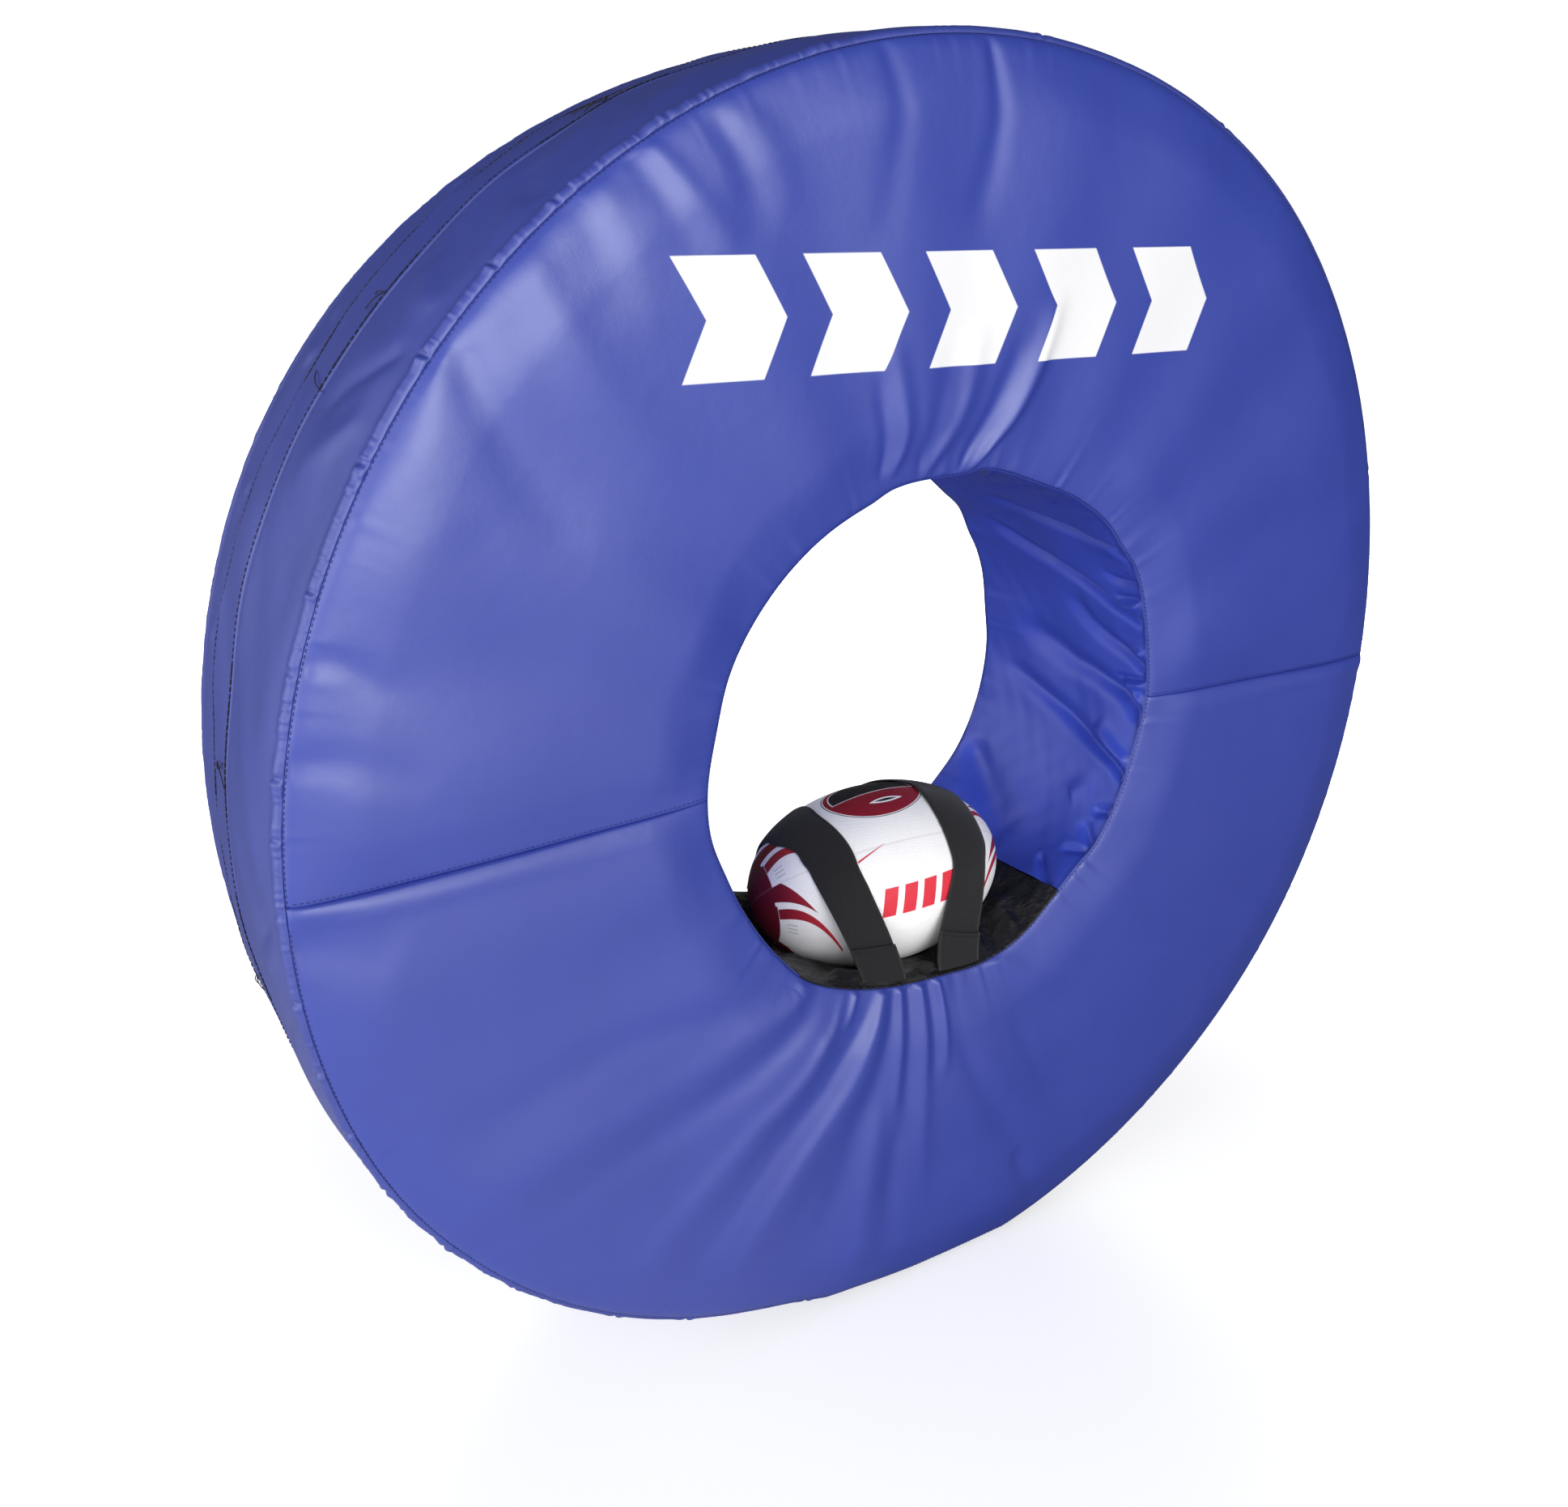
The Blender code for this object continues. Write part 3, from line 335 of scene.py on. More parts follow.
# Folds of the faces, by x and y from the ring's axis
FRONT_FOLDS = (
    (5.6, 9.5, 34, 0, -0.45, -61, -227, -72, -262, -91, -297, -109, -327, -136, -359, -165, -390, -194, -425, -224,
     -465, -244, -500, -273, -544),
    (-4.4, 9.5, 31, 0, 0.35, -75, -232, -96, -273, -119, -297, -140, -321, -166, -343, -186, -359, -216, -388, -247,
     -422, -278, -455, -305, -490, -336, -528),
    (-3, 6, 24, 0, 0, -57, -245, -59, -267, -67, -305, -78, -338, -96, -374, -116, -438, -153, -511, -171, -563),
    (3.4, 6, 26, 0, -0.2, -112, -221, -129, -262, -144, -275, -162, -295, -187, -315, -216, -333, -256, -368, -293,
     -398, -327, -428, -361, -459, -389, -492),
    (2.8, 3, 6, 0, 0, -93, -218, -102, -240, -110, -259, -123, -277),
    (4.6, 6, 34, 0, 0, -159, -187, -167, -219, -191, -228, -226, -236, -268, -249, -314, -258, -409, -277, -483, -292,
     -554, -311),
    (-3.8, 9, 28, 0, 0, -141, -237, -173, -252, -214, -272, -258, -287, -298, -298, -375, -315, -472, -343, -531,
     -367),
    (-3, 12, 30, 0, 0, -196, -210, -264, -204, -329, -199, -406, -209, -479, -230, -563, -256),
    (2.8, 3, 9, 0, 0, -45, -223, -49, -256, -50, -293, -52, -348, -60, -402),
    (-2.8, 3, 11, 0, 0, -36, -226, -37, -260, -37, -297, -39, -352, -39, -430),
    (3.4, 3, 14, 0, 0, -30, -224, -23, -264, -19, -312, -18, -360, -16, -439, -6, -535),
    (3, 3, 7, 0, 0, -13, -222, 2, -272, 8, -321, 8, -364),
    (-2.2, 3, 9, 0, 0, -20, -224, -11, -268, -6, -317, -5, -374),
    (-2.6, 10, 20, 0, 0, -46, -379, -52, -445, -55, -524, -58, -596),
    (2.6, 10, 20, 0, 0, -72, -350, -82, -433, -91, -508, -101, -576),
    (3, 6, 14, 0, 0, 18, -215, 51, -238, 105, -269, 187, -317),
    (-2.6, 10, 22, 0, 0, 11, -294, 49, -364, 87, -428, 123, -488, 156, -550),
    (-1.4, 10, 18, 0, 0, 89, -305, 143, -397, 185, -459, 223, -522),
    (-2.6, 10, 14, 0, 0, 111, -478, 139, -534, 169, -594),
    (3, 4, 14, 0, 0, -87, 256, -79, 280, -77, 300, -82, 326, -91, 359, -99, 391),
    (-2, 5, 10, 0, 0, -98, 257, -94, 288, -99, 321, -108, 360),
    (3, 4, 15, 0, 0, -48, 258, -37, 282, -20, 305, -8, 335, -4, 368, -4, 400),
    (-1.4, 5, 14, 0, 0, -57, 259, -52, 284, -42, 317, -34, 350, -29, 388),
    (6, 3.5, 15, 0, -0.25, 0, 259, 16, 277, 35, 298, 53, 324, 69, 354, 81, 387, 89, 417),
    (-3, 3.5, 13, 0, 0, -11, 260, -2, 282, 14, 305, 28, 329, 41, 356, 52, 388),
    (-1.6, 6, 18, 0, 0, -104, 607, -101, 590, -96, 568, -92, 540, -98, 500, -106, 458, -111, 428),
    (-2.6, 4, 17, 0, 0, 0, 612, 2, 595, 5, 572, 8, 543, 3, 510, -8, 473, -14, 439),
    (1.6, 4, 18, 0, 0, -314, 526, -303, 518, -291, 506, -276, 487, -261, 468, -245, 447, -230, 422),
    (-1.6, 6, 18, 0, 0, -329, 519, -318, 508, -306, 492, -291, 471, -277, 450, -267, 426),
    (-1.8, 8, 20, 0, 0, -268, 553, -244, 524, -230, 498, -222, 471, -218, 436),
    (1.4, 10, 22, 0, 0, -251, 557, -220, 532, -206, 510, -197, 485, -190, 453),
    (1, 8, 26, 0, 0, -357, 505, -345, 491, -335, 475, -323, 449, -316, 426, -312, 394, -313, 359),
    (-1.4, 10, 24, 0, 0, -376, 489, -363, 474, -351, 449, -341, 421, -337, 383),
    (1, 16, 12, 0, 0, -323, 500, -339, 484, -368, 460, -397, 437, -426, 411, -451, 394, -473, 376),
    (2.8, 14, 28, 0, -0.2, -454, 407, -466, 390, -472, 373, -481, 346, -493, 317, -522, 285, -538, 254, -550, 224,
     -561, 188),
    (-2.8, 12, 30, 0, 0, -467, 399, -453, 375, -437, 342, -415, 302, -386, 256, -354, 206),
    (2.6, 12, 36, 0, 0, -410, 463, -395, 429, -374, 384, -347, 339, -308, 294, -262, 245),
    (-2.4, 8, 16, 0, 0, -591, 175, -579, 178, -565, 180, -549, 173, -527, 155, -481, 138),
    (-2.4, 9, 20, 0, 0, -606, 106, -585, 108, -562, 105, -528, 90, -473, 70),
    (-4, 12, 34, 0, 0, -633, -31, -581, -36, -521, -60),
    (-1.4, 24, 60, 0, 0, -472, 274, -427, 198, -445, 113),
)
BACK_FOLDS = (
    (4.5, 7, 26, 0.2, 0, -80, -233, -150, -330, -240, -440),
    (4, 6, 22, 0.2, 0, -20, -240, -30, -330, -50, -450),
    (4.2, 6, 22, 0.2, 0, 40, -236, 70, -320, 130, -430),
    (-3.4, 6, 18, 0.3, 0, 80, -230, 150, -320, 240, -410),
    (3.6, 8, 30, 0.1, 0, 190, -180, 320, -230, 460, -290),
    (4, 7, 24, 0.2, 0, -60, 270, -80, 350, -110, 440),
    (3.6, 7, 24, 0.2, 0, 60, 270, 85, 350, 125, 440),
    (4, 10, 30, 0.1, 0, 320, 520, 290, 460, 250, 400),
    (-3.4, 10, 30, 0.1, 0, -590, 120, -520, 95, -450, 70),
    (-3.4, 10, 30, 0.1, 0, 590, 180, 520, 150, 450, 125),
)


def face_height(radius, turn, upper, front):
    """Height of a face's loose cover over the plane of its seams."""
    x, y = radius * np.cos(turn), radius * np.sin(turn)
    seed = 0 if front else 10
    from_bore = np.maximum(radius - BORE_SEAM_RADIUS, 0)
    from_rim = np.maximum(RIM_SEAM_RADIUS - radius, 0)
    from_seam = np.minimum(from_bore, from_rim)
    from_join = np.abs(y)
    share = from_bore / (from_bore + from_rim)
    edge = 1 - np.exp(-from_seam / 0.0035)
    crown = 0.006 * (1 - (2 * share - 1) ** 4)
    puff = 0.006 * ease(from_seam, 0, 0.06) * ease(from_join, -0.012, 0.045 if upper else 0.020)
    height = 0.0018 * edge + crown + puff - RIM_DROP * np.exp(-from_rim / 0.007)
    height -= 0.0011 * np.exp(-from_join / (0.0040 if upper else 0.0018))
    if not upper:
        height += 0.0018 * np.exp(-(((from_join - 0.009) / 0.009) ** 2)) * ease(share, 0.1, 0.7)
    loose = ease(from_seam, 0, 0.05)
    height += 0.0016 * round_wave(turn, 9, 22, 7, 3 + seed) * loose
    height += 0.0010 * flat_wave(x, y, 0.10, 0.24, 7, 5 + seed) * loose
    rim_pleats = pleats(turn, 150, 0.006, 21 + seed)
    height += 0.0007 * rim_pleats * np.exp(-from_rim / 0.014) * ease(from_rim, 0, 0.003)
    bore_pleats = pleats(turn, 60, 0.022, 22 + seed)
    height += 0.0011 * bore_pleats * np.exp(-from_bore / 0.022) * ease(from_bore, 0, 0.004)
    folds = np.zeros_like(x)
    add_folds(folds, x, y, FRONT_FOLDS if front else BACK_FOLDS)
    return height + folds * ease(from_seam, -0.001, 0.006) * ease(from_join, 0, 0.012)


def face_cover(name, front, upper, turns, rows):
    """Half a face cover, with its edges tucked into the seams."""
    turn = (0 if upper else math.pi) + np.linspace(0, math.pi, turns)[:, None]
    spread = np.linspace(0, 1, rows)
    spread = 0.35 * spread + 0.65 * (0.5 - 0.5 * np.cos(math.pi * spread))
    inner, outer = BORE_SEAM_RADIUS + SEAM_GAP / 2, RIM_SEAM_RADIUS - SEAM_GAP / 2
    radius = np.concatenate([[inner, inner], inner + (outer - inner) * spread, [outer, outer]])[None, :]
    drop = np.concatenate([[0.005, 0.0015], np.zeros(rows), [0.0015, 0.005]])[None, :]
    radius, turn = np.broadcast_arrays(radius, turn)
    side = 1 if front else -1
    x, y = stand(radius, turn, side * HALF_WIDTH)
    away = SEAM_GAP / 5 * np.abs(np.cos(turn))
    y = y + (away if upper else -away)
    points = to_world(x, y, side * (SEAM_HEIGHT + face_height(radius, turn, upper, front) - drop))
    tuck = points[[0, -1]] + (0, side * 0.004, 0)
    points = np.concatenate([tuck[:1], points, tuck[1:]])
    uv = np.stack([x, y], -1)
    return grid_object(name, points, np.concatenate([uv[:1], uv, uv[-1:]]), flip=front)


# Folds of the tread, by degrees round it and millimetres across it
TREAD_FOLDS = (
    (-4, 8, 16, 0.4, 0, 141.1, 100, 142.8, 70, 145, 35, 149, 10),
    (3, 10, 22, 0.1, 0, 138, 100, 137, 60, 134, 10),
    (3, 10, 22, 0.1, 0, 146, 98, 149, 60, 152, 10),
    (-3, 10, 22, 0.2, 0, 128, 100, 127, 60, 124, 20),
    (-3.5, 6, 12, 0.5, 0, -178.6, 112, -177.6, 95, -175.4, 60, -173, 30),
    (3.6, 6, 14, 0.3, 0, -177.2, 112, -175.6, 95, -172, 50),
    (-3, 6, 12, 0.4, 0, -170, 100, -168, 70, -165, 40),
    (5, 4, 12, 0.4, 0, 125.6, -125, 126.2, -95, 127, -70),
    (-4, 4, 12, 0.4, 0, 123.9, -125, 124.2, -95, 125, -70),
    (4.5, 4, 12, 0.4, 0, 142, -125, 143, -95, 144.5, -70),
    (-3.6, 4, 12, 0.4, 0, 140.2, -125, 140.6, -95, 141.5, -70),
    (4.2, 4, 12, 0.4, 0, 153.4, -125, 154, -95, 155, -70),
    (-3.6, 4, 12, 0.4, 0, 155.2, -125, 156, -95, 157, -70),
    (4.2, 4, 12, 0.4, 0, 164.6, -125, 165.4, -95, 166, -70),
    (-3.6, 4, 12, 0.4, 0, 162.8, -125, 163.4, -95, 164, -70),
)
# Notches in the front roll: degrees round the ring, then depth in millimetres
ROLL_NOTCHES = (
    127.8, 2.4, 133.8, 2.6, 141.2, 3.6, 149.2, 2.2, 158, 1.6, 163.5, 1.8, 170.7, 2.4, 175, 2.2, -179.4, 1.6,
    -172.5, 3, -166.5, 2, -160.5, 2.6, -154, 1.8, -146, 2.4, -137.5, 1.8, -126, 1.8, -118, 2, -104, 1.8, 118, 1.4,
    104, 1.4, 84, 1.2, 62, 1.2, 20, 1.2, -20, 1.4,
)


def tread_height(turn, z):
    """Height of the tread's cover over its nominal round surface."""
    height = 0.0018 * round_wave(turn + 2.0 * z, 6, 15, 6, 41)
    height += 0.0008 * round_wave(turn - 3.0 * z, 18, 34, 5, 42)
    for lap in (-math.tau, 0, math.tau):
        scale = DEGREE * RING_RADIUS, 0.001
        add_folds(height, (turn - lap) * RING_RADIUS, z, TREAD_FOLDS, scale)
    return height * ease(HALF_WIDTH - np.abs(z), 0, 0.03)


def roll_height(turn, side, share):
    """Puckers of the roll beside a rim seam; share is 0 at the seam and 1 where the roll ends on the tread."""
    seed, most = (0, 0.92) if side > 0 else (10, 0.30)
    bulge = np.sin(math.pi * np.clip(share, 0, 1))
    ruffled = 0.08 + most * ease(np.cos(turn - math.radians(165)), 0.25, 0.80)
    pucker = 0.0008 * pleats(turn, 480, 0.0026, 51 + seed) + 0.0011 * pleats(turn, 120, 0.007, 52 + seed)
    height = 0.0010 * bulge + pucker * ruffled * ease(bulge, 0, 0.5)
    height += 0.0006 * round_wave(turn, 40, 90, 6, 53) * bulge * ruffled
    if side > 0:
        for angle, depth in np.reshape(ROLL_NOTCHES, (-1, 2)) * (1, 0.001):
            off = np.angle(np.exp(1j * (turn - math.radians(angle)))) * RING_RADIUS
            for gain, place, wide in ((-0.8, 0, 0.0022), (0.6, 0.005, 0.0035), (0.3, -0.007, 0.005)):
                height += gain * depth * np.exp(-(((off - place) / wide) ** 2)) * bulge
    return height


def tread_cover(name, side, end, turns):
    """A tread band from its rim seam over the roll to a straight edge under the closure flap."""
    flat_rows = 34
    start = math.asin((RIM_SEAM_RADIUS - RING_RADIUS + CORNER_RADIUS) / CORNER_RADIUS)
    arc = np.linspace(start, math.pi / 2, 17)
    out_r = np.concatenate([np.sin(arc), np.ones(flat_rows)])
    out_z = np.concatenate([np.cos(arc), np.zeros(flat_rows)])
    radius = RING_RADIUS - CORNER_RADIUS + CORNER_RADIUS * out_r
    flat = np.linspace(TREAD_HALF, side * end, flat_rows + 1)[1:]
    z = np.concatenate([TREAD_HALF + CORNER_RADIUS * np.cos(arc), flat])
    walked = np.concatenate([[0], np.cumsum(np.hypot(np.diff(radius), np.diff(z)))])
    seam = np.exp(-walked / 0.0022)
    turn, local_z = np.broadcast_arrays(np.linspace(0, math.tau, turns, endpoint=False)[:, None], side * z)
    crown = TREAD_CROWN * (1 - np.clip(np.abs(z) / TREAD_HALF, 0, 1) ** 4)
    hem = 0.0008 * (1 - ease(walked, 0.010, 0.015))
    height = crown + hem + tread_height(turn, local_z) * ease(walked, 0.01, 0.06)
    height = height + roll_height(turn, side, walked / 0.013 + 0 * turn) - 0.0014 * seam
    if side > 0:
        height = height - 0.0014 * ease(FLAP_FRONT + 0.004 - z, 0, 0.004)
    radius = radius + out_r * height + SEAM_GAP / 2 * seam
    local_z = local_z + side * out_z * height
    first = local_z[:, :1]
    radius = np.concatenate([radius[:, :1], radius[:, :1], radius], 1)
    local_z = np.concatenate([first - side * 0.006, first - side * 0.003, local_z], 1)
    turn = np.concatenate([turn[:, :2], turn], 1)
    x, y = stand(radius, turn, local_z, raised=False)
    uv = np.stack([turn * RING_RADIUS, local_z], -1)
    return grid_object(name, to_world(x, y, local_z), uv, round_u=True, flip=side < 0)


def flap_point(turn, z, lift):
    """A point of the closure flap, lift over the tread."""
    height = TREAD_CROWN * (1 - (np.abs(z) / TREAD_HALF) ** 4) + tread_height(turn, z) + lift
    x, y = stand(RING_RADIUS + height, turn, z, raised=False)
    return to_world(x, y, z)


def flap_edges(turn):
    """Wavy front and back edges of the closure flap."""
    front = FLAP_FRONT + 0.0008 * round_wave(turn, 7, 30, 6, 71)
    back = FLAP_BACK + 0.0012 * round_wave(turn, 7, 34, 6, 72)
    return front, back


def closure_flap(name, turns):
    share, lift = np.array((
        (0, -0.003), (0, -0.0002), (0.015, 0.0002), (0.05, 0.0004), (0.2, 0.0005), (0.35, 0.0006), (0.5, 0.0006),
        (0.65, 0.0006), (0.8, 0.0006), (0.95, 0.0008), (0.985, 0.0008), (1, 0.0003), (1, -0.003),
    )).T
    turn = np.linspace(0, math.tau, turns, endpoint=False)[:, None]
    front, back = flap_edges(turn)
    z = front + (back - front) * share
    ripple = 0.0006 * round_wave(turn, 30, 70, 6, 73) * ease(share, 0.8, 1.0)
    turn = turn + 0 * z
    points = flap_point(turn, z, lift + np.maximum(ripple, -0.0003))
    return grid_object(name, points, np.stack([turn * RING_RADIUS, z], -1), round_u=True)


# Folds of the lining, by degrees round the bore and millimetres across it
BORE_FOLDS = (
    (-4.5, 3, 5, 0.3, 0, 59.3, 130, 59.2, 120, 53.5, 44, 46.4, -74),
    (-4, 3, 6, 0.3, 0, 50.5, 130, 50.8, 124, 48.3, 75, 46.1, 32),
    (-6, 4, 8, 0.3, 0, 36.9, 130, 37.1, 129, 37.3, 92, 38.6, 57, 39.9, 23, 41.5, -14, 43.4, -47, 45, -83),
    (-4, 4, 6, 0.2, 0, 32.5, 129, 33.3, 124, 35.1, 112, 37, 101),
    (-4, 3, 6, 0.3, 0, 27.7, 128, 27.4, 119, 26.7, 91, 28.5, 68),
    (-3.5, 3, 5, 0.3, 0, 24.1, 130, 23.8, 125, 22.7, 98, 22.6, 79),
    (-6.5, 4, 9, 0.3, 0, 16.6, 129, 17.1, 121, 18.8, 100, 20.3, 76, 22.6, 52, 24.7, 25, 26.9, 0, 28.9, -28, 32, -58,
     35.1, -80, 38.9, -100),
    (-5, 5, 12, 0.1, 0, 5.5, 126, 6.4, 117, 8.8, 96, 10.6, 70, 13.1, 44, 17.2, 22, 20.9, 12),
    (-3.5, 3, 4, 0.3, 0, 4.1, 130, 3.9, 125, 2.5, 90, 2.3, 77),
    (-6.5, 6, 16, 0.1, 0, -6.8, 130, -5, 118, -1.6, 99, 0, 71, 1.4, 40, 2.3, 8, 4.6, -22, 6.6, -59, 9.8, -89),
    (-6, 5, 12, 0.2, 0, -21.1, 130, -19.8, 122, -17.1, 100, -15.4, 76, -13.1, 44, -11, 16, -8.7, -20, -6.6, -53, -5,
     -85, -3.2, -115),
    (-4.5, 4, 7, 0.2, 0, -27.4, 130, -27.8, 129, -29, 110, -30.5, 98),
    (-4.5, 4, 6, 0.3, 0, -38, 130, -38.3, 127, -40, 107, -41.7, 85),
    (-3.5, 5, 8, 0, 0, -37.9, 130, -36.2, 115, -34.2, 104, -31.9, 95),
    (-5, 14, 26, 0, 0, -25.8, -112, -30.6, -90, -35.8, -57, -41.9, -10, -46.8, 25),
    (-4, 4, 8, 0.1, 0, -44.1, 66, -46.6, 81, -50, 102, -52.1, 114),
    (4.5, 4, 6, 0.1, 0, 23.5, 130, 22.7, 123, 21.2, 103, 20.4, 83),
    (4, 4, 5, 0.1, 0, 11, 130, 10.4, 123, 9.7, 109, 9.4, 99),
    (4.5, 4, 6, 0.1, 0, 3.1, 130, 2.6, 122, 1.6, 100, 1.5, 87),
    (4.5, 5, 8, 0.1, 0, -2.2, 130, -1.5, 122, -0.3, 106, 0.6, 91),
    (5, 5, 12, 0.1, 0, -15.5, 130, -15.9, 121, -14.4, 98, -12.2, 74, -9.9, 57),
    (1.6, 10, 14, 0, 0, -29.4, 60, -26.6, 73, -25.7, 92),
    (4, 4, 6, 0.1, 0, 54.9, -22, 59.8, 9, 65.1, 43),
    (1.8, 6, 18, 0.2, 0, 98, 122, 99, 40, 97, -60),
    (-1.8, 6, 16, 0.4, 0, 108, 123, 112, 30, 118, -90),
    (1.8, 6, 18, 0.2, 0, 126, 122, 130, 30, 136, -80),
    (-1.8, 6, 16, 0.4, 0, 140, 123, 145, 30, 150, -80),
    (1.8, 6, 18, 0.2, 0, 156, 122, 160, 30, 166, -80),
    (-1.8, 6, 16, 0.4, 0, 171, 123, 174, 30, 179, -80),
    (1.8, 6, 18, 0.2, 0, 186, 122, 188, 30, 192, -80),
    (-1.8, 6, 16, 0.4, 0, 199, 123, 200, 30, 202, -80),
    (1.6, 6, 16, 0.2, 0, 214, 122, 213, 40, 212, -50),
)
# Folds of the cradle, by millimetres along it from its middle and across it
CRADLE_FOLDS = (
    (9, 12, 16, 0.1, 0, -120, 96, -98, 106, -78, 112),
    (6, 8, 14, 0.2, 0, -60, 118, -30, 112, 0, 108),
    (6.6, 6, 14, 0.3, 0.3, 75, 118, 85, 80, 110, 50),
    (-5, 6, 12, 0.5, 0, 92, 120, 106, 80, 130, 50),
    (6.2, 6, 14, 0.3, 0.3, 120, 120, 130, 85, 152, 60),
    (6.4, 6, 12, 0.3, 0.2, 10, 118, 12, 90),
    (-4.4, 5, 10, 0.5, 0, 20, 118, 24, 90),
)


def bore_profile(rows):
    """Radii and depths across the bore, from the back seam to the front one, with its rounded edges."""
    edge = np.linspace(math.pi / 2, 0, 8)
    roll = BORE_SEAM_RADIUS - BORE_RADIUS
    radius = np.concatenate([[BORE_SEAM_RADIUS], BORE_RADIUS + roll * (1 - np.cos(edge))])
    z = np.concatenate([[SEAM_HEIGHT - 0.003], SEAM_HEIGHT - roll * (1 - np.sin(edge))])
    z = np.concatenate([-z, np.linspace(-z[-1], z[-1], rows + 2)[1:-1], z[::-1]])
    radius = np.concatenate([radius, np.full(rows, BORE_RADIUS), radius[::-1]])
    return radius, z


def bore_grid(low, high, turns, rows):
    """Angles, radii and depths of a grid on the bore, between two angles."""
    radius, z = bore_profile(rows)
    return np.broadcast_arrays(np.linspace(low, high, turns)[:, None], radius, z)


def bore_object(name, turn, radius, z, seated=False):
    x, y = stand(radius, turn, z)
    if seated:
        y = seat_ball(x, y, z, SEAT_CLEARANCE, SEAT_SOFT)
    return grid_object(name, to_world(x, y, z), np.stack([turn * BORE_RADIUS, z], -1))


def bore_sleeve(name, turns, rows):
    """The lining round the bore, from one edge of the cradle to the other."""
    low = -math.pi / 2 + CRADLE_HALF + CRADLE_TRIM
    turn, radius, z = bore_grid(low, low + math.tau - 2 * (CRADLE_HALF + CRADLE_TRIM), turns, rows)
    inner = ease(SEAM_HEIGHT - np.abs(z), 0, 0.007)
    near_seam = np.exp(-(SEAM_HEIGHT - np.abs(z)) / 0.030)
    along = turn * BORE_RADIUS
    height = np.zeros_like(along)
    add_folds(height, along, z, BORE_FOLDS, (DEGREE * BORE_RADIUS, 0.001), 0.0016)
    height += 0.0012 * flat_wave(along, z, 0.07, 0.20, 7, 81)
    height += 0.0014 * pleats(turn, 40, 0.020, 82) * near_seam * (0.25 + 0.75 * ease(np.cos(turn - 0.1), 0, 0.5))
    height += 0.0002 * flat_wave(along, z, 0.02, 0.05, 6, 83)
    return bore_object(name, turn, radius - np.clip(height, -0.012, 0.018) * inner, z)


def seat_ball(x, y, z, clearance, soft):
    """Presses the bore's floor down under the ball, with a soft edge to the dip."""
    axis = BALL_AXES[:, 0]
    round_gain = 1 / (BALL_DIAMETER / 2 + clearance) ** 2
    long_gain = 1 / (BALL_LENGTH / 2 + clearance) ** 2 - round_gain
    dx, dz = x - BALL_CENTRE[0], z - BALL_CENTRE[2]
    along = dx * axis[0] + dz * axis[2]
    a = round_gain + long_gain * axis[1] ** 2
    b = long_gain * axis[1] * along
    inside = b * b - a * (round_gain * (dx**2 + dz**2) + long_gain * along**2 - 1)
    under = BALL_CENTRE[1] - (b + np.sqrt(np.maximum(inside, 0))) / a
    over = (y - under) / soft
    return np.where(inside > 0, y - soft * np.logaddexp(0, over), y)


def ball_cradle(name, turns, rows):
    """Black vinyl in the bottom of the bore, dipped under the ball."""
    half, middle = CRADLE_HALF - CRADLE_TRIM, -math.pi / 2
    turn, radius, z = bore_grid(middle - half, middle + half, turns, rows)
    inner = ease(SEAM_HEIGHT - np.abs(z), 0, 0.012)
    along = turn * BORE_RADIUS
    height = 0.0018 * flat_wave(along, z, 0.05, 0.12, 7, 91) + 0.0011 * flat_wave(along, z, 0.018, 0.04, 8, 92)
    add_folds(height, along - middle * BORE_RADIUS, z, CRADLE_FOLDS)
    return bore_object(name, turn, radius - np.clip(height, -0.004, 0.010) * inner, z, seated=True)


# Straps: they follow the same course as the CAD straps, worked out in the ball's own axes
STRAP_WIDTH = 0.048
STRAP_THICKNESS = 0.0015
STRAP_CLEARANCE = 0.0012
STRAP_INSET = 0.0075
STRAP_FOOT_GAP = 0.0016
TAB_HEIGHT = 0.034
COURSE_STEP = 1 / 22  # the CAD straps' courses have 22 steps
FREE_SHARE = 4 * COURSE_STEP  # share of the course from a foot to the ball
STRAP_COURSE = 0.55  # length of the weave's pattern along a strap
TAB_THICKNESS = 0.0024
TAB_GAP = 0.0006
TAB_SEWN_HALF = 0.022  # of the row of stitches across a tab
TAB_SEWN_SHARE = 0.12  # of the tab's height, down from its upper edge
STRAP_SHARES = {
    "left": (-0.333, -0.483, -0.597, -0.640, -0.620),
    "right": (0.330, 0.600, 0.572, 0.270, -0.070),
}


def strap_centre(shares, along):
    """Where the middle of a strap lies along the ball, at a share of its course."""
    place = np.clip(along, 0, 1) * (len(shares) - 1)
    n = np.minimum(place.astype(int), len(shares) - 2)
    shares = np.array(shares)
    return BALL_LENGTH / 2 * (shares[n] + (shares[n + 1] - shares[n]) * ease(place - n))


def bore_floor(x, z):
    """Height of the bore's floor at a place near its bottom."""
    radius = BORE_RADIUS * bore_share(np.arctan2(-np.sqrt(BORE_RADIUS**2 - x**2), x), z)
    return BORE_RISE - np.sqrt(radius**2 - x**2)


